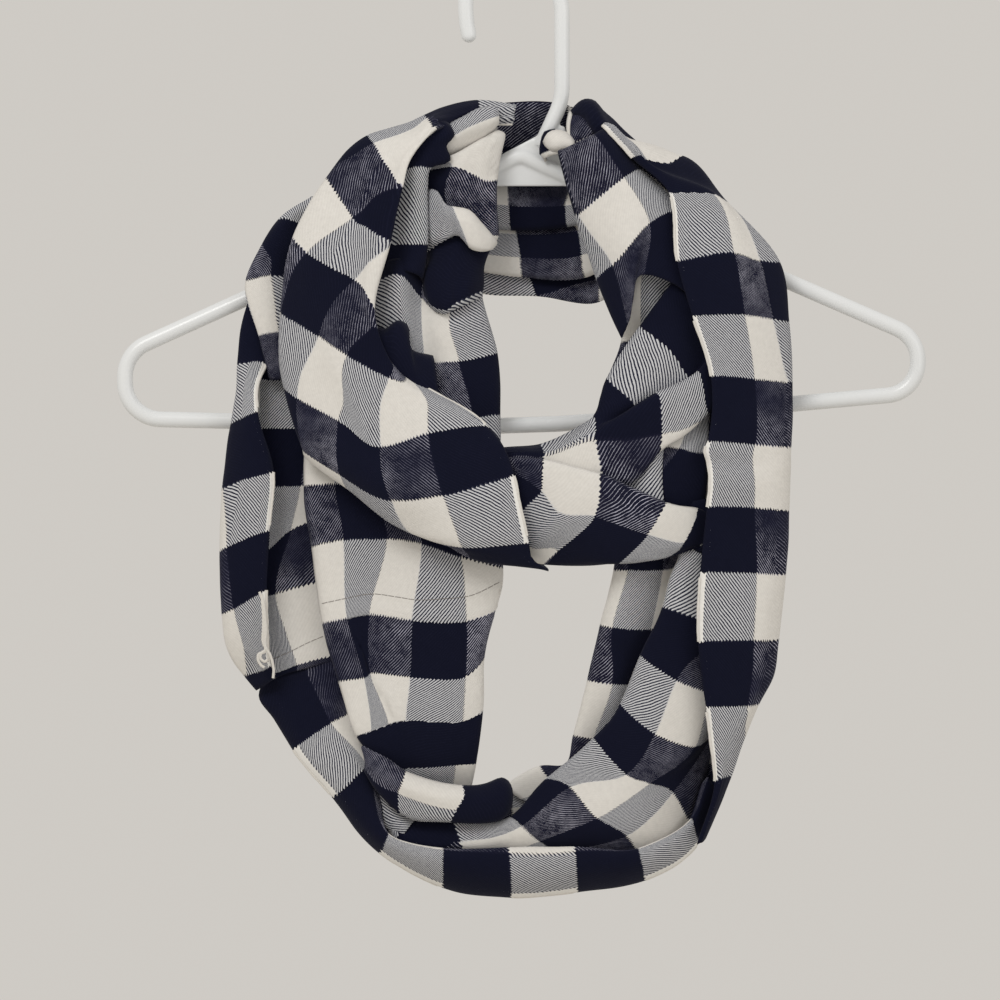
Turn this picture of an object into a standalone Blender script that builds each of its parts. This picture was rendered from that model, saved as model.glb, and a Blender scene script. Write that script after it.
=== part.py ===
"""Infinity scarf, wound twice round the neck of a tubular clothes hanger.

The scarf is one closed loop of checked cloth.  Each stretch of it that shows is its own thin-walled
solid, lofted through a short table of sections.  Lengths in the tables are millimetres; the objects
are in metres, +Z up, the front of the scarf towards -Y, and the origin is the point of the hook's
inner top that hangs on a peg.
"""
import math

import bmesh
import bpy
import numpy as np

MM = 0.001

# Cloth
WALL = 1.6            # brushed cotton, slightly thickened so that it is one firm wall
PITCH_ALONG = 12.0    # facet length along a stretch
PITCH_ACROSS = 10.0   # facet width across a stretch

# Plain colours of the solids, linear
CLOTH_NAVY = (0.012, 0.013, 0.028)
HANGER_WHITE = (0.80, 0.80, 0.80)

# Hanger
TUBE = 8.5            # diameter of the arms and the lower bar
HOOK_TUBE = 9.0
HOOK_INNER_RADIUS = 19.8
HOOK_TIP_DROP = 21.5  # straight run of the hook's free end below its arc
STEM_FOOT = ((24.3, -76.0), (21.5, -84.0), (17.5, -92.0))     # x, z down the stem
NECK_APEX = (2.0, -105.0)
ARM_BEND_LEFT = (-125.0, -172.5)     # each arm sags a little under the cloth
ARM_BEND_RIGHT = (130.0, -165.6)
ARM_END_LEFT = (-203.3, -208.0)
ARM_END_RIGHT = (209.0, -200.0)
BAR_END_LEFT = (-203.3, -242.0)
BAR_END_RIGHT = (209.0, -228.5)
BAR_SAG = (5.0, -247.0)
ARM_FILLET = 19.0
BAR_FILLET_RIGHT = 11.0
APEX_FILLET = 8.0
WEB_THICKNESS = 3.0
NECK_SHARE_LEFT = 0.15
NECK_SHARE_RIGHT = 0.17
SEAM = 0.35
TUBE_SIDES = 12
HOOK_STEPS = 16
WEB_OUTLINE = ((-26.0, -121.5), (34.0, -120.5), (26.0, -108.0), (22.5, -95.0), (12.5, -95.0), (-4.0, -103.0))

# Every section row is: weft line -> one (warp line, x, z, depth) for each fold line across the cloth.
# Warp and weft count the checks of the cloth, across and along it, so whole numbers are stripe edges.
# Depth is the distance in front of the hanger's middle plane.

# Inner winding, left: comes over the left shoulder, falls and crosses to the right in front.
LEFT_INNER_LINES = ("tucked back", "outer fold", "first", "second", "third", "fourth", "inner fold", "tucked in")
LEFT_INNER = {
    -1.4: ((7.5, -7, -84, -3), (7.0, -6, -78.5, 0), (6.8, -6, -79.5, 2), (6.6, -6, -81, 4),
           (6.4, -6, -83, 5), (6.2, -7, -85, 5), (6.1, -7, -87, 5), (5.7, -8, -89, 3)),
    -1.0: ((7.5, -22, -83, -2), (7.0, -20, -77, 2), (6.8, -20, -78.5, 6), (6.6, -20, -81, 9),
           (6.4, -21, -83, 10), (6.2, -22, -86, 9.5), (6.1, -22, -88, 8.5), (5.7, -24, -90, 5)),
    -0.5: ((7.5, -38, -90, 0), (7.0, -35, -80, 6), (6.8, -34, -82, 12), (6.6, -33, -85, 16),
           (6.4, -33, -88, 18), (6.2, -33, -91, 18), (6.1, -33, -93, 17.5), (5.7, -37, -96, 14)),
    0.0: ((7.5, -50, -99, 1), (7.0, -48, -85.5, 14), (6.75, -46, -87, 22), (6.5, -45, -88.5, 27),
          (6.3, -44, -90, 30), (6.1, -43.5, -92, 31), (6.0, -43, -94, 30), (5.5, -50, -100, 23)),
    1.0: ((7.5, -71, -110, 7), (7.0, -77, -96, 23), (6.75, -73, -102, 31), (6.5, -69, -108.5, 36),
          (6.3, -65, -114, 38), (6.1, -62, -119.5, 38), (5.98, -60, -123, 36), (5.4, -67, -122, 28)),
    2.0: ((7.4, -90, -129, 19), (6.9, -98, -118, 27), (6.45, -91, -128.5, 36), (6.0, -84, -139, 42),
          (5.6, -77.5, -143.5, 44), (5.25, -71.5, -147.5, 43), (4.95, -66, -152, 40), (4.5, -73, -154, 31)),
    3.0: ((6.9, -107, -156, 23), (6.4, -115, -149, 29), (6.0, -107.5, -157, 37), (5.5, -96, -164, 43),
          (5.0, -83, -171, 46), (4.75, -78, -177, 45), (4.5, -74, -189, 42), (4.1, -80, -190, 33)),
    4.0: ((6.6, -113, -188, 24), (6.05, -121.5, -187.5, 30), (5.5, -112, -193.5, 38), (5.0, -101.5, -200, 44),
          (4.0, -87, -210, 47), (3.0, -65.5, -221.5, 47), (2.4, -57, -222.5, 45), (2.0, -57, -219, 38)),
    5.0: ((6.2, -112, -230, 25), (5.5, -120, -226, 31), (5.0, -112.5, -232, 38), (4.0, -91.5, -243.5, 44),
          (3.0, -69.5, -257, 49), (2.0, -45, -250, 51), (1.0, -17.5, -246, 50), (0.9, -14, -247, 48)),
    6.0: ((5.7, -101, -257, 29), (5.0, -110, -258.5, 34), (4.6, -101, -265, 38), (4.0, -90.5, -271.5, 43),
          (3.0, -64, -284.5, 50), (2.0, -37.5, -282, 54), (1.0, -4, -272.5, 54), (0.9, -1, -272, 53)),
    6.4: ((5.7, -101, -256, 27), (5.0, -109, -261, 29), (4.6, -100, -269.5, 33), (4.0, -87, -278.5, 38),
          (3.0, -58, -297.5, 43), (2.0, -33.5, -293, 53), (1.0, -1, -287, 54), (0.9, 2, -287, 53)),
    7.0: ((5.7, -99, -252, 26), (5.0, -105, -255, 27), (4.6, -97, -263, 29), (4.0, -84, -272, 31),
          (3.0, -50, -302.5, 40), (2.0, -27.5, -308.5, 50), (1.0, 3.5, -306.5, 52), (0.9, 6.5, -306.5, 51)),
    7.4: ((5.7, -97, -249, 27), (5.0, -103, -251, 28), (4.6, -95, -258, 30), (4.0, -82, -266, 31),
          (3.0, -46, -300, 34), (2.0, -24, -314.5, 44), (1.0, 10, -321, 46), (0.9, 14, -321.5, 45)),
    7.8: ((5.7, -96, -246, 30), (5.0, -102, -248, 31), (4.6, -94, -254, 32), (4.0, -80, -261, 32),
          (3.0, -44, -295, 32), (2.0, -22, -310, 37), (1.0, 11, -317, 38), (0.9, 15, -317, 37)),
}

# Inner winding, gathers beside the neck opening on the left.
LEFT_GATHER_LINES = ("tucked under", "opening edge", "right valley", "right pleat", "left valley", "left pleat",
                     "under the fold")
LEFT_GATHER = {
    1.0: ((0.8, -15, -95, 6), (1.2, -10, -94, 8), (1.9, -22, -94, 9), (2.4, -34, -98, 9), (2.9, -42, -102, 10),
          (3.5, -48, -106, 12), (4.2, -56, -111, 10)),
    2.0: ((0.5, -16, -119, 7), (1.0, -10, -119, 13), (1.8, -28, -114, 20), (2.4, -38, -112, 24),
          (2.9, -46, -113, 18), (3.5, -52, -113, 22), (4.2, -64, -114, 13)),
    3.0: ((0.5, -16, -150, 8), (1.0, -11, -150, 15), (1.6, -27, -148, 24), (2.3, -36, -151, 28),
          (2.9, -46, -147, 20), (3.5, -54, -146, 29), (4.2, -68, -147, 20)),
    4.0: ((0.6, -23, -178, 8), (1.1, -18, -177, 16), (1.7, -27, -184, 26), (2.4, -39, -188, 30),
          (3.0, -49, -180, 24), (3.5, -60, -168, 33), (4.2, -73, -172, 24)),
    5.0: ((0.7, -15, -208, 9), (1.2, -10, -208, 18), (2.0, -26, -212, 26), (2.5, -36, -213, 28),
          (3.0, -45, -213, 26), (3.6, -57, -206, 30), (4.3, -74, -205, 24)),
    6.0: ((0.8, -13, -240, 10), (1.3, -8.5, -240, 20), (1.7, -17, -241, 26), (2.3, -28, -244, 28),
          (3.0, -40, -247, 28), (3.6, -52, -248, 28), (4.3, -66, -244, 25)),
    6.6: ((0.8, -13, -257, 11), (1.3, -8.5, -257, 19), (1.7, -17, -258, 25), (2.3, -28, -260, 27),
          (3.0, -40, -262, 27), (3.6, -52, -262, 27), (4.3, -64, -256, 24)),
}

# Outer winding, left shoulder, where the cloth first shows beside the inner winding.
LEFT_SHOULDER_LINES = ("under the fold", "stripe edge", "swell", "outer fold", "tucked back")
LEFT_SHOULDER = {
    0.0: ((1.4, -90, -138, 6), (2.0, -96, -133, 13), (2.4, -103, -128, 15), (2.8, -106, -127, 10), (3.2, -103, -129, 3)),
    1.0: ((1.0, -106, -143, 10), (2.0, -113, -141, 16), (2.6, -119, -138, 17), (3.0, -123, -139, 12),
          (3.4, -119, -142, 5)),
    2.0: ((1.0, -114, -169, 14), (2.0, -127, -169, 18), (2.6, -135, -169, 18), (3.0, -140.5, -170, 16),
          (3.4, -135, -171, 12)),
    3.0: ((1.0, -114, -193, 15), (2.0, -123, -196, 19), (2.6, -129, -198, 19), (3.0, -133, -199, 17),
          (3.4, -132, -199, 15)),
    3.7: ((1.0, -112, -214, 14), (2.0, -118, -216, 17), (2.6, -124, -218, 17), (3.0, -128, -217, 16),
          (3.4, -129, -215, 14)),
}

# Outer winding, left side: its free edge is folded forward as a flap over the outer fold.
LEFT_OUTER_LINES = ("free edge", "edge stripe", "flap", "outer fold", "behind the flap", "first", "second", "inner")
LEFT_OUTER = {
    2.7: ((.9, -139.5, -180, 24), (1.0, -140.5, -180, 24), (1.1, -141.5, -180, 22), (1.2, -142, -180, 17),
          (1.6, -138, -180, 9), (2.6, -126, -182, 7), (3.6, -105, -182, 7), (5.0, -74, -182, 7)),
    3.0: ((.9, -137, -189, 25), (1.0, -138, -189, 25), (1.2, -141, -188, 23), (1.4, -142.5, -188, 17),
          (1.8, -137, -189, 9), (2.8, -128, -190, 7), (3.8, -105, -190, 7), (5.2, -72, -190, 7)),
    4.0: ((.9, -131, -211, 26), (1.0, -133, -211.5, 26), (1.4, -139, -212, 24), (1.6, -145, -213.5, 17),
          (2.2, -139, -216, 9), (3.0, -133, -221, 8), (4.0, -112, -222, 8), (5.5, -70, -222, 8)),
    5.0: ((.9, -133.5, -238.5, 26), (1.0, -135.5, -239, 26), (1.5, -142, -242, 24), (1.8, -149, -245, 17),
          (2.4, -143, -247, 9), (3.0, -134, -247, 8), (4.0, -110, -247, 8), (5.5, -70, -247, 8)),
    6.0: ((.9, -125.5, -270, 26), (1.0, -128, -270.5, 27), (1.75, -143, -274.5, 25), (2.05, -152, -279, 17),
          (2.6, -146, -279, 9), (3.0, -131, -277.5, 8), (4.0, -112, -277, 8), (5.5, -72, -277, 8)),
    7.0: ((.9, -127.5, -300, 26), (1.0, -130, -300.5, 27), (1.95, -148, -308, 24), (2.3, -153, -311.5, 17),
          (2.7, -147, -312, 9), (3.0, -133, -312, 8), (4.0, -117, -300, 9), (5.2, -80, -292, 8)),
    8.0: ((.9, -129, -331, 26), (1.0, -131.5, -332, 26), (1.9, -147.5, -341, 24), (2.2, -152, -344, 17),
          (2.6, -146, -345, 9), (3.0, -133, -336, 8), (4.0, -125, -333, 9), (5.2, -80, -321, 8)),
    8.6: ((.9, -128.5, -353, 24), (1.0, -130.5, -354, 24), (1.7, -143, -359, 22), (2.1, -149.5, -362, 16),
          (2.6, -143, -362, 9), (3.0, -131, -359, 8), (4.0, -119, -355, 9), (5.1, -80, -344, 8)),
    9.0: ((.9, -126, -369, 20), (1.0, -128, -370, 20), (1.5, -133, -373, 18), (1.9, -139.5, -378, 13),
          (2.4, -135, -377, 9), (3.0, -125, -374, 8), (4.0, -114, -370, 9), (5.0, -80, -362, 8)),
}

# Outer winding, lower left: the panel with the end seam, folded over the cloth beside it.
LEFT_PANEL_LINES = ("tucked under", "left fold", "first", "second", "third", "fourth", "opening edge", "tucked back")
LEFT_PANEL = {
    6.3: ((1.6, -104, -269, 14), (2.0, -110, -268, 18), (3.0, -95, -268, 21), (4, -78, -268, 21),
          (5, -58, -268, 21), (6, -38, -268, 21), (6.7, -14, -268, 16), (7.0, -20, -268, 8)),
    7.0: ((1.6, -103, -277, 14), (2.1, -109.5, -277, 20), (3.0, -94, -276, 22), (4, -76, -276, 22),
          (5, -56, -276, 23), (6, -36, -276, 22), (6.7, -12, -276, 17), (7.1, -18, -276, 8)),
    8.0: ((1.7, -99, -309, 14), (2.1, -105.5, -309, 20), (3.0, -89.5, -305, 24), (4, -67, -304.5, 23),
          (5, -49, -307, 25), (6, -28.5, -314, 24), (6.8, -7, -320, 17), (7.2, -12, -320, 8)),
    9.0: ((1.8, -94, -349, 14), (2.2, -100, -348.5, 20), (3.0, -87.5, -345.5, 24), (4, -76, -343.5, 23),
          (5, -54, -346.5, 26), (6, -26, -347, 24), (6.6, -11, -341, 17), (7, -17, -341, 8)),
    10.0: ((1.9, -86, -379, 15), (2.3, -91.5, -378.5, 20), (3.0, -78.5, -376.5, 25), (4, -75.5, -374, 24),
           (5, -55, -376, 26), (6, -26.5, -376, 24), (6.4, -17, -365, 17), (6.8, -22, -365, 8)),
    11.0: ((2.1, -78, -409, 17), (2.5, -82, -407, 22), (3.0, -75, -404, 25), (4, -66, -400.5, 25),
           (5, -57, -398.5, 26), (6, -28, -399, 23), (6.4, -17.5, -393, 17), (6.8, -22, -393, 8)),
    12.0: ((2.4, -66, -427, 15), (2.7, -67, -424, 18), (3.0, -62, -424, 19), (4, -55, -423, 19),
           (5, -45, -422.5, 19), (6, -31.5, -421.5, 18), (6.4, -21, -421, 15), (6.8, -25, -421, 8)),
    12.8: ((2.4, -60, -437, 8), (2.7, -60, -436, 9), (3.0, -57, -436, 9), (4, -53, -436, 9),
           (5, -45, -436, 9), (6, -33, -436, 9), (6.4, -24, -436, 9), (6.8, -27, -436, 7)),
}

# Outer winding, the roll that the panel turns into as it swings to the right.
LEFT_ROLL_LINES = ("tucked top", "top edge", "upper", "crease", "lower edge", "tucked bottom")
LEFT_ROLL = {
    11.2: ((4.2, -77, -413, 26), (4.0, -80, -412, 27), (4.4, -79, -416, 29), (4.8, -78, -420, 29), (5.2, -78, -425, 26),
           (5.6, -75, -426, 22)),
    11.6: ((4.2, -66, -422, 24), (4.0, -67, -418, 28), (4.4, -69, -423, 32), (4.8, -70, -428, 32), (5.4, -72, -434, 27),
           (5.8, -69, -435, 22)),
    12.0: ((3.7, -55, -431, 22), (4.0, -57, -425, 27), (4.5, -59, -431, 33), (5.0, -61, -436, 31), (5.8, -60, -446, 27),
           (6.2, -57, -447, 23)),
    13.0: ((3.7, -29, -440, 22), (4.0, -28, -432, 27), (4.5, -27, -438, 34), (5.0, -31, -444, 33), (5.8, -34, -450, 29),
           (6.2, -32, -449, 24)),
    13.5: ((3.7, -16, -438, 22), (4.0, -15, -431, 27), (4.5, -12, -437, 34), (5.0, -13, -444, 34), (5.8, -16, -450.5, 30),
           (6.2, -16, -449, 24)),
    14.0: ((3.7, -6, -436, 21), (4.0, -6, -429, 25), (4.5, -1.5, -435, 29), (5.0, -3, -442, 29), (5.8, -8, -448, 28),
           (6.2, -9, -446, 24)),
}

# Outer winding, the lower rim with the free edge along the bottom.
BOTTOM_RIM_LINES = ("free edge", "edge stripe", "face", "upper face", "rim fold", "tucked in", "inner")
BOTTOM_RIM = {
    8.6: ((.7, -131, -371, 3), (1.0, -127, -369, 4), (1.5, -119, -366, 4), (2.0, -111, -363, 4),
          (2.4, -101, -360, 4), (3.0, -88, -356, 3), (3.8, -71, -350, 3)),
    8.8: ((.7, -133, -377.5, 4), (1.0, -126, -376, 4.5), (1.5, -118, -373, 5), (2.0, -110, -370, 5),
          (2.4, -101, -367, 5), (3.0, -87, -363, 4.5), (3.8, -70, -357, 4)),
    9.1: ((.7, -134.5, -383, 7), (1.0, -126, -382, 9), (1.5, -117, -379, 10), (2.0, -108, -375, 10),
          (2.4, -98, -371, 9), (3.0, -85, -366, 8), (3.8, -68, -359, 7)),
    9.5: ((.8, -125.5, -398, 10), (1.0, -119, -396, 14), (1.5, -110, -392, 15), (2.0, -102, -388, 14),
          (2.4, -94, -384, 12), (3.0, -84, -378, 10), (3.8, -69, -371, 9)),
    10.0: ((.88, -115.5, -414, 12), (1.0, -112, -411, 16), (1.5, -104, -405, 17), (2.0, -96, -400, 16),
           (2.4, -90, -397, 14), (3.0, -82, -392, 12), (3.8, -70, -386, 12)),
    11.0: ((.9, -95, -438.5, 15), (1.0, -92, -436, 20), (1.5, -86, -430.5, 22), (2.0, -80, -424.5, 21),
           (2.3, -77, -422, 18), (2.8, -74, -421, 15), (3.5, -70, -419, 13)),
    12.0: ((.9, -70.5, -467, 20), (1.0, -69, -465, 26), (1.4, -68, -462, 30), (1.9, -67, -459.5, 31),
           (2.1, -66, -457, 30), (2.6, -65, -459, 27), (3.3, -65, -461, 26)),
    13.0: ((.9, -38, -485, 19), (1.0, -38, -482, 25), (1.5, -38, -475, 32), (1.95, -38, -470, 34),
           (2.1, -38, -464.5, 32), (2.6, -38.5, -468, 28), (3.3, -39, -471, 27)),
    14.0: ((.9, -2.5, -490, 19), (1.0, -2.5, -487, 25), (1.5, -3, -478, 33), (1.95, -3.5, -469, 35),
           (2.1, -4, -464, 33), (2.6, -4, -467, 29), (3.3, -4, -471, 28)),
    15.0: ((.9, 32, -487, 19), (1.0, 31.5, -484, 25), (1.5, 31, -476, 33), (1.95, 30.5, -468, 35),
           (2.1, 30, -464, 33), (2.6, 30, -467, 29), (3.3, 30, -471, 28)),
    16.0: ((.9, 67, -481, 18), (1.0, 66, -478.5, 24), (1.5, 65, -473, 31), (1.95, 63.5, -467.5, 33),
           (2.1, 63, -464.5, 31), (2.6, 62.5, -467, 27), (3.3, 62, -470, 26)),
    17.0: ((.9, 95, -462, 16), (1.0, 94, -460.5, 19), (1.5, 92.5, -456, 22), (1.95, 91.5, -451.5, 24),
           (2.1, 90.5, -449.5, 23), (2.6, 89, -452, 20), (3.3, 87.5, -454, 19.5)),
    17.8: ((.9, 104, -436, 13), (1.0, 103.5, -435, 15), (1.5, 102, -432, 17), (1.95, 100, -429, 18),
           (2.1, 99.5, -428, 17.5), (2.6, 98, -429.5, 16.5), (3.3, 96.5, -431, 16)),
}

# Outer winding, the inside of the bottom bend, running up on the right in front of the inner edge.
TROUGH_LINES = ("tucked top", "ridge", "first", "second", "third", "under the rim")
TROUGH = {
    11.4: ((6.5, -76, -424, 6), (6.0, -79, -426, 7), (5.0, -79, -432, 8), (4.0, -78, -437, 9),
           (3.0, -76, -441, 9), (2.1, -74, -445, 8)),
    12.0: ((6.5, -68, -432, 10), (6.0, -71, -434, 12), (5.0, -70, -440, 14), (4.0, -69, -444, 15),
           (3.0, -67, -448, 14), (2.1, -65, -452, 13)),
    13.0: ((6.5, -58, -446, 12), (6.0, -60, -449, 17), (5.0, -61, -457, 22), (4.0, -61, -462, 21),
           (3.0, -59, -466, 19), (2.1, -58, -470, 16)),
    14.0: ((6.5, -33, -446, 13), (6.0, -33, -449, 19), (5.0, -29, -460, 25), (4.0, -27, -465, 24),
           (3.0, -26, -469, 21), (2.1, -26, -473, 18)),
    15.0: ((6.5, 4, -456, 14), (6.0, -3, -449, 24), (5.0, 3, -453, 30), (4.0, 12, -461, 28), (3.0, 22, -467, 24),
           (2.1, 30, -472, 20)),
    16.0: ((6.5, 21, -437, 16), (6.0, 15, -430, 26), (5.0, 28, -433, 31), (4.0, 42, -449, 32),
           (3.0, 57, -458, 27), (2.1, 65, -470, 17)),
    17.0: ((6.5, 45, -414, 17), (6.0, 40, -408, 26), (5.0, 57, -426.5, 30), (4.0, 69, -431, 28),
           (3.0, 81, -436, 21), (2.1, 90, -452, 11)),
    18.0: ((6.5, 60, -392, 17), (6.0, 54, -390, 27), (5.0, 72, -405.5, 31), (4.0, 88, -411, 26),
           (3.0, 98, -405, 16), (2.1, 104, -404, 11)),
    19.0: ((6.5, 71, -368, 18), (6.0, 64, -365, 27), (5.0, 83, -378, 30), (4.0, 98, -384, 25),
           (3.0, 105, -388, 16), (2.1, 109, -391, 12)),
    20.0: ((6.5, 85, -342, 18), (6.05, 79, -340, 28), (5.0, 96, -347, 28), (4.0, 104, -350, 19),
           (3, 109, -352, 15), (2.1, 113, -353, 12)),
    21.0: ((6.5, 89, -318, 18), (6.1, 85, -316, 26), (5.0, 98, -316, 26), (4.0, 105, -316, 18),
           (3, 110, -316, 14), (2.1, 114, -316, 12)),
}

# Outer winding, the inner edge on the right of the lower opening.
RIGHT_FALL_LINES = ("behind", "first", "second", "third", "opening edge", "tucked back")
RIGHT_FALL = {
    17.4: ((5, 78, -426, 8), (6, 66, -426, 9), (7, 50, -426, 9), (8, 34, -425, 10), (8.5, 25.5, -422, 10),
           (8.9, 28, -422, 6)),
    18.0: ((5, 82, -408, 9), (6, 70, -408, 10), (7, 58, -408, 10), (8, 40, -408, 12), (8.5, 30, -406.5, 13),
           (8.9, 35, -406, 7)),
    19.0: ((5, 88, -380, 9), (6, 76, -380, 10), (7, 64, -380, 11), (8, 50, -380, 18), (8.5, 37, -378, 16),
           (8.9, 43, -378, 8)),
    20.0: ((5, 92, -346, 9), (6, 82, -346, 11), (7, 70, -351.5, 15), (8, 50, -350.5, 22), (8.4, 44, -349, 17),
           (8.8, 50, -349, 8)),
    21.0: ((5, 94, -318, 9), (6, 85, -319, 11), (7, 76, -321, 15), (8, 58, -321, 23), (8.4, 51, -321, 18),
           (8.8, 57, -321, 8)),
    22.0: ((5, 95, -290, 9), (6, 86, -290, 12), (7, 78, -290, 18), (8, 62, -290, 20), (8.4, 55, -290, 16),
           (8.8, 61, -290, 8)),
    23.0: ((5, 94, -264, 9), (6, 86, -264, 11), (7, 78, -264, 14), (8, 66, -264, 15), (8.4, 60, -264, 12),
           (8.8, 66, -264, 8)),
}

# Outer winding, right side: its free edge is folded forward as a long flap.
RIGHT_OUTER_LINES = ("free edge", "edge stripe", "stripe edge", "near the fold", "outer fold", "behind the flap",
                     "back", "inner")
RIGHT_OUTER = {
    17.2: ((.9, 96.5, -462, 30), (1.0, 97.5, -461.5, 30), (1.04, 98.5, -461, 29), (1.08, 99.5, -460, 27),
           (1.12, 101, -458, 23), (1.3, 102, -454, 15), (1.8, 98, -448, 9), (2.6, 86, -443, 6)),
    18.0: ((.9, 103, -429.5, 34), (1.0, 104.5, -429, 34), (1.2, 108, -428, 32), (1.3, 110.5, -427.5, 29),
           (1.4, 113, -427, 22), (1.7, 109, -424, 11), (2.4, 97, -420, 6), (3.3, 84, -416, 6)),
    19.0: ((.9, 98, -391.5, 37), (1.0, 100.5, -391.5, 37), (2.0, 121, -391, 33), (2.2, 125, -390.5, 30),
           (2.4, 128.5, -389.5, 22), (2.8, 122, -388, 11), (3.4, 105, -386, 6), (4.2, 92, -384, 6)),
    20.0: ((.9, 94, -357.5, 38), (1.0, 97, -357.5, 38), (2.0, 122.5, -357, 34), (2.4, 131, -357, 30),
           (2.6, 136.5, -356.5, 22), (3.0, 130, -355, 11), (3.6, 108, -355, 6), (4.5, 94, -355, 6)),
    21.0: ((.9, 95, -322, 38), (1.0, 98.5, -322, 38), (2.0, 124, -322.5, 34), (2.5, 134, -323, 30),
           (2.7, 140, -323, 22), (3.1, 133, -322, 11), (3.7, 110, -322, 6), (4.6, 96, -322, 6)),
    22.0: ((.9, 98.5, -288, 38), (1.0, 101, -288, 38), (2.0, 123, -288.5, 34), (2.55, 136, -289.5, 29),
           (2.75, 142, -290, 21), (3.15, 135, -289, 11), (3.8, 112, -288, 6), (4.7, 96, -288, 6)),
    23.0: ((.9, 98.5, -254.5, 38), (1.0, 101, -254.5, 38), (2.0, 123, -256, 34), (2.6, 138, -257, 28),
           (2.8, 143.5, -257, 20), (3.2, 136, -256, 11), (3.9, 114, -255, 7), (4.8, 96, -255, 7)),
    24.0: ((.9, 100.5, -220.5, 38), (1.0, 102.5, -220.5, 38), (2.0, 123, -222, 34), (2.97, 139, -223.5, 26),
           (3.1, 144, -224, 19), (3.4, 137, -223, 10), (4.0, 114, -222, 7), (4.9, 94, -222, 7)),
    25.0: ((.9, 91, -189.5, 38), (1.0, 93.5, -189.5, 38), (2.0, 120.5, -189, 34), (3.0, 134.5, -191, 26),
           (3.3, 142.5, -192.5, 19), (3.6, 136, -191, 10), (4.1, 112, -190, 7), (4.9, 92, -190, 7)),
    26.0: ((.9, 83, -161, 38), (1.0, 85, -161, 38), (2.0, 115, -157, 34), (3.0, 128, -161, 26),
           (3.45, 138, -161.5, 18), (3.8, 130, -161, 10), (4.2, 112, -162, 7), (4.9, 94, -164, 7)),
    27.0: ((.9, 79, -126, 35), (1.0, 81, -126, 35), (2.0, 102, -126.5, 30), (2.5, 107, -129, 25),
           (2.8, 110, -131, 18), (3.1, 107, -132, 11), (3.6, 102, -134, 8), (4.2, 97, -137, 7)),
    28.0: ((.9, 60, -106.5, 31), (1.0, 62, -107, 32), (1.6, 74, -108, 30), (2.0, 80, -107.5, 25),
           (2.3, 87, -105.5, 16), (2.6, 88, -107, 9), (3.0, 87, -109, 7), (3.6, 86, -112, 6)),
}

# Inner winding, right side beside the neck opening.
RIGHT_INNER_LINES = ("tucked back", "opening edge", "stripe edge", "far stripe edge", "outer", "tucked under")
RIGHT_INNER = {
    27.0: ((5.7, 57, -196, 27), (5.5, 54.5, -200.5, 30), (5.0, 58, -193, 33), (4.0, 66.5, -168, 34),
           (3.4, 82, -169, 34), (2.8, 90, -170, 32)),
    28.0: ((5.9, 46, -171, 20), (5.6, 42, -170, 26), (5.0, 50, -163, 33), (4.0, 69, -141.5, 35),
           (3.4, 79, -136, 31), (2.8, 87, -137, 26)),
    29.0: ((5.6, 37, -141, 13), (5.1, 31, -137.5, 21), (5.0, 33, -136.5, 25), (4.0, 56, -118, 33),
           (3.5, 63, -114, 27), (3.0, 68, -115, 18)),
    30.0: ((5.5, 28, -108, 9), (5.05, 23, -104, 17), (5.0, 24, -103, 19), (4.0, 41, -94.5, 26), (3.7, 46, -93, 21),
           (3.2, 51, -97, 14)),
    31.0: ((5.5, 34, -92, 7), (5.1, 30, -86, 8), (5.0, 31, -83, 11), (4.0, 38, -78, 14), (3.7, 43, -81, 12),
           (3.2, 47, -88, 8)),
}

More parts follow.
